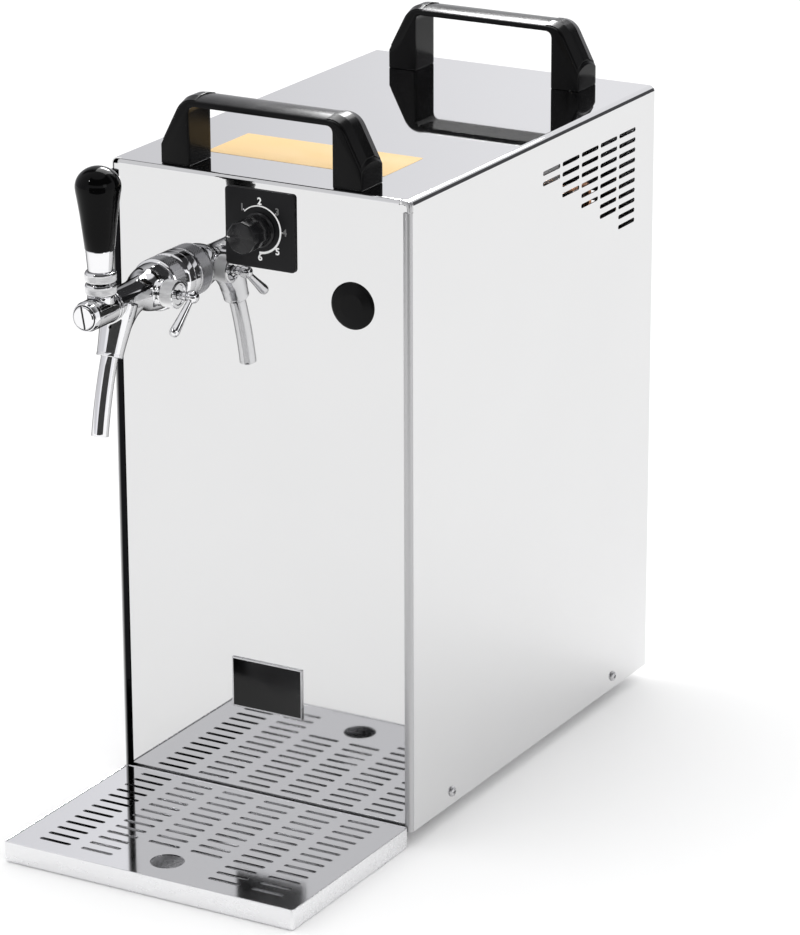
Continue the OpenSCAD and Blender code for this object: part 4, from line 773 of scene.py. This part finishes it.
class DISPENSER_OT_handles(bpy.types.Operator):
    """Model the two carry handles and the caps on their slopes"""
    bl_idname = "dispenser.handles"
    bl_label = "Carry handles"

    def execute(self, context):
        sizes = context.scene.dispenser_sizes
        low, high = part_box("front_handle")
        half, tall, deep = [side / MM for side in ((high.x - low.x) / 2, high.z - low.z, high.y - low.y)]
        shoulder, slope, grip, bar, bend = 18.7, 16.6, 59.5, 6.0, 16
        inner_bend, foot_bend, seam_gap, cap_end, cap_edge = 5.5, 1.5, 1.5, 3.2, 0.4 * MM
        crown = sizes.handle_crown / MM
        down = Vector((slope, shoulder - tall)).normalized()
        out = Vector((-down.y, down.x))
        inside = rounded([(-grip, 0), (-grip, tall - bar), (grip, tall - bar), (grip, 0)],
                         [0, inner_bend, inner_bend, 0], 8)

        def corner(sink):
            return Vector((half - slope - sink * (1 - out.y) / out.x, tall - sink))

        def foot(sink):
            return Vector((half, shoulder - sink / out.y))

        def place(line, across):
            return upright(line, Vector((0, low.y + (across + 1) / 2 * deep * MM, ROOF)))

        loops = []
        for across in (-1, -0.8, -0.55, -0.28, 0, 0.28, 0.55, 0.8, 1):
            sink = crown * across ** 2
            top, side = corner(sink), foot(sink)
            outside = rounded([(half, 0), side, top, (-top.x, top.y), (-side.x, side.y), (-half, 0)],
                              [0, foot_bend, bend, bend, foot_bend, 0], 8)
            loops.append(place(outside + inside, across))
        handle = lofted("carry_handle_front", loops)
        soften(handle, sizes.handle_edge, 3, 35)
        smooth(handle)
        step = Vector((0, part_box("rear_handle")[0].y - low.y, 0))
        rear = copied(handle, "carry_handle_rear", step)
        finished(handle, "black_plastic", "cabinet", "black_plastic", "front_handle")
        finished(rear, "black_plastic", "cabinet", "black_plastic", "rear_handle")
        rise, thick = sizes.cap_rise / MM, 1.2
        seam = bend * math.tan(math.acos(down.x) / 2) + seam_gap
        loops = []
        for across, sink in ((-0.9, 2.0), (-0.36, 0.1), (0.36, 0.1), (0.9, 2.0)):
            start, end = corner(sink).x - seam, foot(sink) - down * cap_end
            top = rounded([(0, tall - sink + rise), corner(sink - rise), end + out * rise], bend, 8)
            under = rounded([end - out * thick, corner(sink + thick), (0, tall - sink - thick)],
                            bend - thick, 8)
            top[0] = Vector((start, tall - sink + rise))
            under[-1] = Vector((start, tall - sink - thick))
            loops.append(place(top + under, across))
        cap = lofted("handle_cap_1", loops)
        soften(cap, cap_edge, 2, 40)
        smooth(cap, 10)
        caps = [cap, copied(cap, "handle_cap_2", (0, 0, 0), True), copied(cap, "handle_cap_3", step),
                copied(cap, "handle_cap_4", step, True)]
        for piece in caps:
            finished(piece, "black_plastic", "cabinet", "black_plastic", "handle_caps")
        return {"FINISHED"}


class DISPENSER_OT_dial(bpy.types.Operator):
    """Model the thermostat's plate with its printed scale"""
    bl_idname = "dispenser.dial"
    bl_label = "Thermostat plate"

    def execute(self, context):
        sizes = context.scene.dispenser_sizes
        low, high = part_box("thermostat_plate")
        w = (high.x - low.x) / 2 / MM
        plate = prism("thermostat_dial_plate", upright(card(w, w, 3), DIAL), FRONT * (high.y - low.y))
        soften(plate, 0.35 * MM, 3, 40)
        smooth(plate)
        finished(plate, "dial_black", "cabinet", "black_plastic", "thermostat_plate")
        face, ink = low.y - 0.04 * MM, Vector((0, 0.05 * MM, 0))
        base = Vector((DIAL.x, face, DIAL.z))
        # Numerals 1, 3 and 4 take the dim grey print.
        letter_size, letter_weight, shown = 1.38, 0.19 * MM, (0, 2, 3)
        prints = []
        for i in range(6):
            angle = math.radians(135 - 45 * i)
            away = Vector((math.cos(angle), 0, math.sin(angle)))
            clear_selection()
            bpy.ops.object.text_add()
            text = named("numeral_%d" % (i + 1))
            text.data.body = str(i + 1)
            text.data.size = sizes.numeral_height * letter_size
            text.data.align_x, text.data.align_y = "CENTER", "CENTER"
            text.data.extrude = 0.03 * MM
            text.data.offset = letter_weight
            bpy.ops.object.convert(target="MESH")
            text.data.materials.append(FINISHES["dim_numeral_print" if i in shown else "print"])
            spot = base + away * sizes.numeral_radius
            text.matrix_world = Matrix.Translation(spot) @ Matrix.Rotation(math.pi / 2, 4, "X")
            bpy.ops.object.transform_apply(location=True, rotation=True)
            prints.append(text)
            near, far = sizes.scale_radius + 0.6 * MM, sizes.scale_radius + 1.9 * MM
            side = Vector((-away.z, 0, away.x)) * 0.28 * MM
            tick = [base + away * near - side, base + away * far - side, base + away * far + side,
                    base + away * near + side]
            prints.append(prism("tick_%d" % (i + 1), tick, ink))
            prints[-1].data.materials.append(FINISHES["print"])
        outer, inner, parts = [], [], 60
        for i in range(parts + 1):
            t = i / parts
            angle = math.radians(137 - 229 * t)
            away = Vector((math.cos(angle), 0, math.sin(angle)))
            outer.append(base + away * (sizes.scale_radius + (0.35 + 0.35 * t) * MM))
            inner.append(base + away * (sizes.scale_radius - (0.35 + 0.75 * t) * MM))
        prints.append(prism("scale_arc", outer + inner[::-1], ink))
        prints[-1].data.materials.append(FINISHES["print"])
        print_ = joined("dial_print", prints)
        finished(print_, None, "cabinet", "dial_plastic")
        return {"FINISHED"}


class DISPENSER_OT_knob(bpy.types.Operator):
    """Model the thermostat's knob with its pointer"""
    bl_idname = "dispenser.knob"
    bl_label = "Thermostat knob"

    def execute(self, context):
        low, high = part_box("thermostat_knob")
        rear = high.y
        deep = (high.y - low.y) / MM
        start = Vector((DIAL.x, rear, DIAL.z))
        profile = rounded([(0, 0), (13, 0), (13, 2.2), (11.4, 3), (0, 3)], [0, 0.3, 0.8, 0.5, 0])
        skirt = turned("knob_skirt", profile, start, FRONT, 60)
        flats, reach = 10, 11.9
        turns = [TURN * (i + 0.5) / flats for i in range(flats)]
        corners = [(math.cos(a) * reach, math.sin(a) * reach) for a in turns]
        seam = ((corners[0][0] + corners[-1][0]) / 2, (corners[0][1] + corners[-1][1]) / 2)
        shape = rounded([seam] + corners + [seam], 2.2, 3)[:-1]
        sunk, short = 2.6, 3.2
        rim, dish, half_step, edge = 0.9 * MM, 0.55 * MM, 0.25 * MM, 0.12 * MM
        outline = upright(shape, start + FRONT * sunk * MM)
        grip = prism("knob_grip", outline, FRONT * (deep - short) * MM)
        edit(grip)
        pick(grip, "FACE", lambda f: f.normal.y < -0.9)
        bpy.ops.mesh.inset(thickness=rim, depth=dish)
        pick(grip, "FACE", lambda f: f.normal.y < -0.99)
        bpy.ops.mesh.bisect(plane_co=DIAL, plane_no=(0, 0, 1))
        pick(grip, "FACE", lambda f: f.normal.y < -0.99 and f.calc_center_median().z > DIAL.z)
        extrude((0, -half_step, 0))
        tidy()
        done()
        soften(grip, edge, 2, 40)
        knob = joined("thermostat_turn_knob", [skirt, grip])
        smooth(knob, 35)
        finished(knob, "knob_black", "thermostat_dial", "knob_plastic", "thermostat_knob")
        near, far, half, proud, deep = 8.9 * MM, 11.3 * MM, 0.45 * MM, 0.05 * MM, 0.9 * MM
        dash = brick("knob_pointer", (DIAL.x - far, low.y - proud, DIAL.z - half),
                     (DIAL.x - near, low.y + deep, DIAL.z + half))
        soften(dash, 0.1 * MM, 2)
        finished(dash, "print", "thermostat_dial", "dial_plastic")
        return {"FINISHED"}


class DISPENSER_OT_plates(bpy.types.Operator):
    """Model the bare badge, the blank label and the blanking plug"""
    bl_idname = "dispenser.plates"
    bl_label = "Badge, label and plug"

    def execute(self, context):
        sizes = context.scene.dispenser_sizes
        field, edge, aside, thick = 0.25 * MM, 0.18 * MM, 1.5 * MM, 0.18 * MM
        low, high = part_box("badge_plate")
        badge = brick("badge_blank", low, high)
        edit(badge)
        pick(badge, "FACE", lambda f: f.normal.y < -0.9)
        bpy.ops.mesh.inset(thickness=sizes.badge_border, depth=0)
        extrude((0, field, 0))
        done()
        finished(badge, "zinc", "cabinet", "badge_black", "badge_plate")
        badge.data.materials.append(FINISHES["badge_black"])
        for face in badge.data.polygons:
            if face.normal.y < -0.9 and face.center.y > low.y + 0.1 * MM:
                face.material_index = 1
        soften(badge, edge, 2, 40)
        smooth(badge)
        w, d = sizes.label_width / 2 / MM, sizes.label_depth / 2 / MM
        spot = Vector((aside, FACE + sizes.label_middle, ROOF))
        label = prism("roof_label", [spot + Vector((*p, 0)) * MM for p in card(w, d, 2)], UP * thick)
        smooth(label)
        finished(label, "paper", "cabinet", "dial_plastic")
        spot = middle("blanking_plug")
        profile = rounded([(0, -10), (9.6, -10), (10.4, -9), (10.4, 0), (17.3, 0), (17.5, 0.7), (15.8, 1.5),
                           (9, 2.6), (0, 3)], [0, 0.5, 0.5, 0, 0.3, 0.8, 2, 8, 0], 5)
        plug = turned("blanking_plug_cap", profile, (spot.x, FACE, spot.z), FRONT, 80)
        smooth(plug)
        finished(plug, "black_plastic", "cabinet", "black_plastic", "blanking_plug")
        return {"FINISHED"}


class DISPENSER_OT_tap(bpy.types.Operator):
    """Model the tap's flange, coupling nut, body, cap and spout"""
    bl_idname = "dispenser.tap"
    bl_label = "Tap"

    def execute(self, context):
        sizes = context.scene.dispenser_sizes
        profile = rounded([(9.9, -40), (9.9, 0), (19.5, 0), (19.5, 7), (17.4, 9), (16, 9), (16, 21),
                           (9.9, 21)], [0, 0, 0.6, 2.2, 1.2, 0.4, 0.5, 0], 5)
        flange = turned("tap_wall_flange", profile, TAP, FRONT, 96, True)
        smooth(flange)
        finished(flange, "chrome", "cabinet", "tap_chrome", "tap_shank")
        profile = rounded([(16.2, 9.5), (18.2, 9.5), (18.8, 10.3), (18.8, 23.8), (19.4, 24), (18.4, 25.3),
                           (17.4, 25.5), (12.8, 25.5), (12.8, 24.2), (16.2, 24.2)],
                          [0, 0.4, 0.3, 0.2, 0.3, 0.8, 0.4, 0.3, 0, 0], 4)
        band = (18.85, 10.4, 13.3, sizes.knurl_pitch, sizes.knurl_depth)
        nut = knurled_nut("tap_coupling_nut", profile, TAP, FRONT, band, "knurl", 96)
        finished(nut, None, "cabinet", "knurled_steel", "coupling_nut")
        self.body()
        self.front_cap()
        self.spout()
        return {"FINISHED"}

    def body(self):
        """The cast body: its rough forms are joined, blended into one skin and trued along the barrel."""
        shapes = []
        start, end, wide, slim = 25.8, 58, 17.5, 11
        steep = 2 * math.atan((wide - slim) / (end - start))
        bend = (end - start) / (2 * math.sin(steep))
        turn = [steep * i / 12 for i in range(13)]
        swelling = [(wide - bend * (1 - math.cos(a)), start + bend * math.sin(a)) for a in turn]
        swelling += [(slim + bend * (1 - math.cos(a)), end - bend * math.sin(a)) for a in reversed(turn[:-1])]
        barrel = swelling + [(slim, 110)]
        shapes.append(turned("barrel", [(0, 22), (15.2, 22), (15.2, start)] + barrel + [(9.8, 113), (0, 113)],
                             TAP, FRONT, 96))
        neck = [(13.2, 0), (12.6, 8), (11.8, 15), (11, 22), (10.3, 29), (9.8, 35), (9.6, 38.5)]
        shapes.append(turned("neck", [(0, 0)] + neck + [(9.6, 39), (0, 39)], NECK, NECK_DOWN, 64))
        for i in range(17):
            t = i / 16
            clear_selection()
            spot = TAP + Vector((0, -54 - 24 * t, -4 - 6 * t - 14 * t * t)) * MM
            bpy.ops.mesh.primitive_uv_sphere_add(segments=48, ring_count=24, radius=(9.5 - 0.5 * t) * MM,
                                                 location=spot)
            bpy.ops.object.transform_apply(location=True)
            shapes.append(named("web"))
        boss = TAP + FRONT * LEVER_REACH
        shapes.append(turned("boss", [(0, -4), (9.8, -4), (9.8, 12), (0, 12)], boss, UP, 48))
        shapes.append(turned("seat", [(0, 0), (10.4, 0), (9.6, 15.6), (9.4, 17), (0, 17)], AXLE, RIGHT, 64))
        body = joined("tap_body_cast", shapes)
        apply(body, "REMESH", mode="VOXEL", voxel_size=0.5 * MM)
        apply(body, "SMOOTH", factor=0.5, iterations=30)
        trued(body, TAP, FRONT, barrel)
        apply(body, "SMOOTH", factor=0.5, iterations=8)
        rings = []
        for a in (82.2, 85.4):
            bead = rounded([(10.4, a), (11.5, a), (11.5, a + 1.3), (10.4, a + 1.3)], 0.4, 3)
            rings.append(turned("ring", bead, TAP, FRONT, 64, True))
        rim = rounded([(9.0, 108), (10.9, 108), (11, 112.4), (10, 116.4), (9.3, 116.6), (9.0, 116)],
                      [0, 0.3, 1.2, 0.5, 0.2, 0], 4)
        rings.append(turned("rim", rim, TAP, FRONT, 64, True))
        mouth = rounded([(6.3, 33), (9.4, 33), (9.7, 39.5), (9.3, 40), (6.3, 40)], [0, 0.4, 0.3, 0.3, 0], 3)
        rings.append(turned("mouth", mouth, NECK, NECK_DOWN, 64, True))
        body = joined("tap_body_cast", [body] + rings)
        only(body)
        bpy.ops.object.shade_smooth()
        finished(body, "chrome", "cabinet", "tap_chrome", "tap_body")

    def front_cap(self):
        """The cap in the end of the barrel, with its tilted slot."""
        profile = rounded([(0, 113), (8.4, 113), (8.5, 113.6), (8.5, 117.1), (7.7, 118), (0, 118)],
                          [0, 0.1, 0.2, 0.4, 0.5, 0], 4)
        cap = turned("tap_slotted_cap", profile, TAP, FRONT, 64)
        tilt, half_long, half_wide, deep = math.radians(10), 12 * MM, 0.85 * MM, 2.3 * MM
        upward = Vector((-math.sin(tilt), 0, math.cos(tilt))) * half_long
        across = Vector((math.cos(tilt), 0, math.sin(tilt))) * half_wide
        front = TAP + FRONT * 119 * MM
        slot = prism("slot", [front - across - upward, front + across - upward, front + across + upward,
                              front - across + upward], -FRONT * deep)
        cut(cap, slot)
        smooth(cap, 30)
        finished(cap, "chrome", "cabinet", "tap_chrome", "tap_front_cap")

    def spout(self):
        """The spout: a circle spun along a slow bend and given its wall."""
        start, bend, sweep, wall = NECK + NECK_DOWN * 34 * MM, 300 * MM, math.radians(12), 1.0 * MM
        toward = Vector((0, math.cos(NECK_LEAN), -math.sin(NECK_LEAN)))
        spout = hoop("tap_spout_tube", 48, 6.2, start, NECK_DOWN)
        everything()
        bpy.ops.mesh.spin(steps=28, angle=-sweep, center=start + toward * bend, axis=(1, 0, 0))
        tidy()
        done()
        apply(spout, "SOLIDIFY", thickness=wall, offset=-1)
        soften(spout, 0.25 * MM, 2, 50)
        smooth(spout)
        finished(spout, "chrome", "cabinet", "tap_chrome", "tap_spout")


class DISPENSER_OT_lever(bpy.types.Operator):
    """Model the knurled rings, the ferrule and the knob of the tap's lever"""
    bl_idname = "dispenser.lever"
    bl_label = "Tap lever"

    def execute(self, context):
        sizes = context.scene.dispenser_sizes
        pitch, depth = sizes.knurl_pitch * 0.68, sizes.knurl_depth * 0.65
        profile = rounded([(7.2, 419), (10.2, 419), (11, 419.8), (11, 425.2), (11.3, 425.5), (10.6, 426.8),
                           (9, 427.1), (7.2, 424)], [0, 0.4, 0.3, 0.2, 0.3, 0.6, 0.5, 0], 4)
        band = (11.05, 420.0, 5.0, pitch, depth)
        ring = knurled_nut("bonnet_knurled", profile, LEVER, UP, band, "fine_knurl")
        finished(ring, None, "cabinet", "knurled_steel", "bonnet_ring")
        profile = rounded([(3.4, 432.3), (6, 431.4), (8, 430.1), (9.6, 428.8), (10.5, 428.4), (11, 428.9),
                           (11, 434), (11.3, 434.3), (10.4, 435.8), (8.8, 436), (3.4, 436)],
                          [0, 1, 1, 0.2, 0.2, 0.2, 0.2, 0.3, 0.6, 0.3, 0], 4)
        band = (11.05, 429.0, 4.8, pitch, depth)
        ring = knurled_nut("lever_nut_knurled", profile, LEVER, UP, band, "fine_knurl")
        finished(ring, None, "tap_lever", "knurled_steel", "lever_ring")
        profile = rounded([(3.4, 436), (8.6, 436), (9, 436.6), (10.15, 451.2), (9.9, 451.8), (3.4, 451.8)],
                          [0, 0.2, 0.5, 0.4, 0.2, 0], 4)
        ferrule = turned("lever_ferrule_cone", profile, LEVER, UP, 72, True)
        smooth(ferrule)
        finished(ferrule, "chrome", "tap_lever", "tap_chrome", "lever_ferrule")
        wide, shoulder, rise = 16.5, 497, 14.7
        side = [(0, 451.8), (10.3, 451.8), (10.75, 452.3), (12.1, 465), (13.7, 478), (15.4, 489),
                (16.3, 494.5), (wide, shoulder)]
        turns = [math.radians(5 * i) for i in range(1, 18)]
        dome = [(wide * math.cos(a), shoulder + rise * math.sin(a)) for a in turns]
        knob = turned("lever_knob_handle", side + dome + [(0, shoulder + rise)], LEVER, UP, 80)
        smooth(knob, 50)
        finished(knob, "gloss_black", "tap_lever", "knob_plastic", "lever_knob")
        return {"FINISHED"}


class DISPENSER_OT_compensator(bpy.types.Operator):
    """Model the compensator's gland nut and its small lever"""
    bl_idname = "dispenser.compensator"
    bl_label = "Compensator"

    def execute(self, context):
        sizes = context.scene.dispenser_sizes
        profile = rounded([(3.6, 17), (9.3, 17), (9.9, 17.3), (9.9, 27.3), (10.2, 27.4), (9.6, 28.1),
                           (8.6, 28.3), (7.6, 28.3), (7.2, 27.4), (3.6, 27.4)],
                          [0, 0.2, 0.2, 0.1, 0.2, 0.3, 0.3, 0.2, 0.2, 0], 4)
        band = (9.95, 17.4, 9.9, sizes.knurl_pitch * 0.6, sizes.knurl_depth * 0.45)
        nut = knurled_nut("compensator_gland_nut", profile, AXLE, RIGHT, band, "fine_knurl")
        finished(nut, None, "cabinet", "knurled_steel", "compensator_nut")
        tilt = math.radians(51)
        down = Vector((0, -math.sin(tilt), -math.cos(tilt)))
        end = (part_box("compensator_lever")[1].x - AXLE.x) / MM
        profile = [(0, 8), (3, 8), (3, end - 9.1), (4.0, end - 8.1), (4.6, end - 6.1), (4.6, end - 4.1),
                   (4.2, end - 2.1), (2.8, end - 0.5), (0, end)]
        shaft = turned("shaft", profile, AXLE, RIGHT, 40)
        ball = AXLE + RIGHT * (end - 4.9) * MM
        arm = turned("arm", [(0, 0), (2.3, 2), (2.5, 8), (3.1, 20), (3.7, 29), (3.7, 31.4), (3.0, 33.5),
                             (1.5, 34.4), (0, 34.5)], ball, down, 40)
        lever = joined("compensator_thumb_lever", [shaft, arm])
        apply(lever, "REMESH", mode="VOXEL", voxel_size=0.36 * MM)
        apply(lever, "SMOOTH", factor=0.5, iterations=5)
        only(lever)
        bpy.ops.object.shade_smooth()
        finished(lever, "chrome", "compensator_arm", "tap_chrome", "compensator_lever")
        return {"FINISHED"}


class DISPENSER_OT_tray(bpy.types.Operator):
    """Model the drip tray with its rounded folds"""
    bl_idname = "dispenser.tray"
    bl_label = "Drip tray"

    def execute(self, context):
        upright, fold, wall = 3 * MM, 2.8 * MM, 1 * MM
        low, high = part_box("drip_tray")
        tray = brick("drip_tray_pan", low, high)
        edit(tray)
        pick(tray, "EDGE", lambda e: abs(e.verts[0].co.z - e.verts[1].co.z) > 1 * MM)
        bpy.ops.mesh.bevel(offset=upright, segments=5, affect="EDGES")
        pick(tray, "EDGE", lambda e: all(v.co.z < low.z + 0.1 * MM for v in e.verts))
        bpy.ops.mesh.bevel(offset=fold, segments=5, affect="EDGES")
        pick(tray, "FACE", lambda f: f.normal.z > 0.9)
        bpy.ops.mesh.delete(type="FACE")
        tidy()
        done()
        apply(tray, "SOLIDIFY", thickness=wall, offset=-1)
        soften(tray, 0.15 * MM, 2, 50)
        smooth(tray)
        finished(tray, "tray_steel", "tray", "satin_steel", "drip_tray")
        return {"FINISHED"}


class DISPENSER_OT_corner(bpy.types.Operator):
    """Model the closed corner where the folds beside and above the front panel meet"""
    bl_idname = "dispenser.corner"
    bl_label = "Folded corner"

    def execute(self, context):
        low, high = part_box("outer_cover")
        side, top, run, lip, deep = high.x / MM, high.z / MM, 9.4, 3.2, 5.2
        outside = rounded([(side - run, top), (side, top), (side, top - run)], 5, 8)
        inside = rounded([(side - lip, top - run), (side - lip, top - lip), (side - run, top - lip)], 3, 8)
        outline = upright(outside + inside, Vector((0, low.y, 0)))
        corner = prism("cover_corner_fold", outline, -FRONT * deep * MM)
        soften(corner, 1.2 * MM, 4, 50)
        smooth(corner)
        finished(corner, "cover_steel", "cabinet", "cabinet_steel")
        return {"FINISHED"}


class DISPENSER_OT_screws(bpy.types.Operator):
    """Model the pan-head screws on the sides and on the back"""
    bl_idname = "dispenser.screws"
    bl_label = "Screws"

    def execute(self, context):
        low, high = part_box("cover_screws")
        head, rise = 4 * MM, 2.4 * MM
        first = Vector((high.x - rise, low.y + head, (low.z + high.z) / 2))
        step = Vector((0, high.y - low.y - 2 * head, 0))
        right = self.screw("side_screw_1", first, RIGHT)
        screws = [right, copied(right, "side_screw_2", step), copied(right, "side_screw_3", (0, 0, 0), True),
                  copied(right, "side_screw_4", step, True)]
        for piece in screws:
            finished(piece, "zinc", "cabinet", "zinc_steel", "cover_screws")
        low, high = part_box("rear_panel_screws")
        first = Vector((low.x + head, high.y - rise, low.z + head))
        wide, tall = high.x - low.x - 2 * head, high.z - low.z - 2 * head
        screws = [self.screw("rear_screw_1", first, -FRONT)]
        for i in range(1, 6):
            move = Vector((wide * (i % 2), 0, tall * (i // 2) / 2))
            screws.append(copied(screws[0], "rear_screw_%d" % (i + 1), move))
        for piece in screws:
            finished(piece, "zinc", "cabinet", "zinc_steel", "rear_panel_screws")
        return {"FINISHED"}

    def screw(self, name, spot, along):
        """One pan-head screw with a cross recess."""
        profile = rounded([(0, -5), (1.9, -5), (1.9, 0), (4, 0), (4, 0.6), (3.2, 1.9), (1.4, 2.4), (0, 2.4)],
                          [0, 0, 0, 0.1, 0.4, 1, 1, 0], 4)
        screw = turned(name, profile, spot, along, 40)
        across = UP.cross(along)
        for wide, tall in ((0.5, 2.1), (2.1, 0.5)):
            reach = across * wide * MM + UP * tall * MM
            ends = [spot + along * 1.3 * MM - reach, spot + along * 3 * MM + reach]
            corners = [[min(a, b) for a, b in zip(*ends)], [max(a, b) for a, b in zip(*ends)]]
            cut(screw, brick("recess", *corners))
        smooth(screw, 30)
        return screw


class DISPENSER_OT_fittings(bpy.types.Operator):
    """Model the beer inlet and the cable gland on the back"""
    bl_idname = "dispenser.fittings"
    bl_label = "Beer inlet and cable gland"

    def execute(self, context):
        sizes = context.scene.dispenser_sizes
        low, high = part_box("beer_inlet")
        spot = middle("beer_inlet")
        spot.y = BACK
        outer, inner = (high.y - BACK) / MM, (low.y - BACK) / MM
        hexagon = self.hexagon("inlet_hexagon", spot, 27, 9)
        crest, root, bore, pitch = 11.45, 10.7, 4.8, sizes.thread_pitch / MM
        first = 9.6
        line = [(bore, inner), (9, inner), (9, 0.5), (root, 0.5), (root, 9)]
        turns = int((outer - 11) / pitch)
        for i in range(turns):
            y = first + i * pitch
            line += [(root, y), (crest, y + 0.42 * pitch), (crest, y + 0.58 * pitch)]
        line += [(root, first + turns * pitch), (root, outer - 1), (root - 1, outer), (6, outer),
                 (bore, outer - 1)]
        tube = turned("inlet_thread", line, spot, -FRONT, 64, True)
        inlet = joined("beer_inlet_nipple", [hexagon, tube])
        smooth(inlet, 25)
        finished(inlet, "zinc", "cabinet", "zinc_steel", "beer_inlet")
        low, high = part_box("cable_gland")
        spot = middle("cable_gland")
        spot.y = BACK
        outer, inner = (high.y - BACK) / MM, (low.y - BACK) / MM
        hexagon = self.hexagon("gland_hexagon", spot, 20, 5)
        line = rounded([(4, inner), (6, inner), (6, 4), (8, 4), (8, outer - 4), (6.4, outer), (4.6, outer),
                        (4, outer - 1)], [0, 0.3, 0, 0.1, 3, 1, 0.4, 0], 5)
        dome = turned("gland_dome", line, spot, -FRONT, 64, True)
        gland = joined("cable_gland_dome", [hexagon, dome])
        smooth(gland, 30)
        finished(gland, "motor_black", "cabinet", "black_plastic", "cable_gland")
        return {"FINISHED"}

    def hexagon(self, name, spot, flats, tall):
        """A hexagon by its width across the flats, with its corners turned down."""
        reach = flats / math.sqrt(3)
        corners = [(math.cos(TURN * i / 6) * reach, math.sin(TURN * i / 6) * reach) for i in range(6)]
        piece = prism(name, upright(corners, spot), -FRONT * tall * MM)
        edge = flats / 2 + 0.2
        lens = turned("lens", [(0, 0), (edge, 0), (reach + 0.5, 1.2), (reach + 0.5, tall - 1.2), (edge, tall),
                               (0, tall)], spot, -FRONT, 72)
        cut(piece, lens, "INTERSECT")
        return piece


class DISPENSER_PT_panel(bpy.types.Panel):
    """Lists the steps of the build"""
    bl_idname = "DISPENSER_PT_panel"
    bl_label = "Draft beer dispenser"
    bl_space_type = "VIEW_3D"
    bl_region_type = "UI"
    bl_category = "Dispenser"

    def draw(self, context):
        for group in (context.scene.dispenser_sizes, context.scene.dispenser_colours):
            for name in group.__annotations__:
                self.layout.prop(group, name)
        for operator in OPERATORS:
            self.layout.operator(operator.bl_idname)


OPERATORS = (DISPENSER_OT_finishes, DISPENSER_OT_stage, DISPENSER_OT_handles, DISPENSER_OT_dial,
             DISPENSER_OT_knob, DISPENSER_OT_plates, DISPENSER_OT_tap, DISPENSER_OT_lever,
             DISPENSER_OT_compensator, DISPENSER_OT_tray, DISPENSER_OT_corner, DISPENSER_OT_screws,
             DISPENSER_OT_fittings)
CLASSES = (DispenserSizes, DispenserColours) + OPERATORS + (DISPENSER_PT_panel,)


def register():
    """Adds the classes and the scene's two groups of properties."""
    for each in CLASSES:
        bpy.utils.register_class(each)
    bpy.types.Scene.dispenser_sizes = PointerProperty(type=DispenserSizes)
    bpy.types.Scene.dispenser_colours = PointerProperty(type=DispenserColours)


def unregister():
    """Takes them away again."""
    del bpy.types.Scene.dispenser_colours
    del bpy.types.Scene.dispenser_sizes
    for each in reversed(CLASSES):
        bpy.utils.unregister_class(each)


def main():
    """Runs every step in order."""
    register()
    for operator in OPERATORS:
        family, step = operator.bl_idname.split(".")
        getattr(getattr(bpy.ops, family), step)()
    clear_selection()


if __name__ == "__main__":
    main()
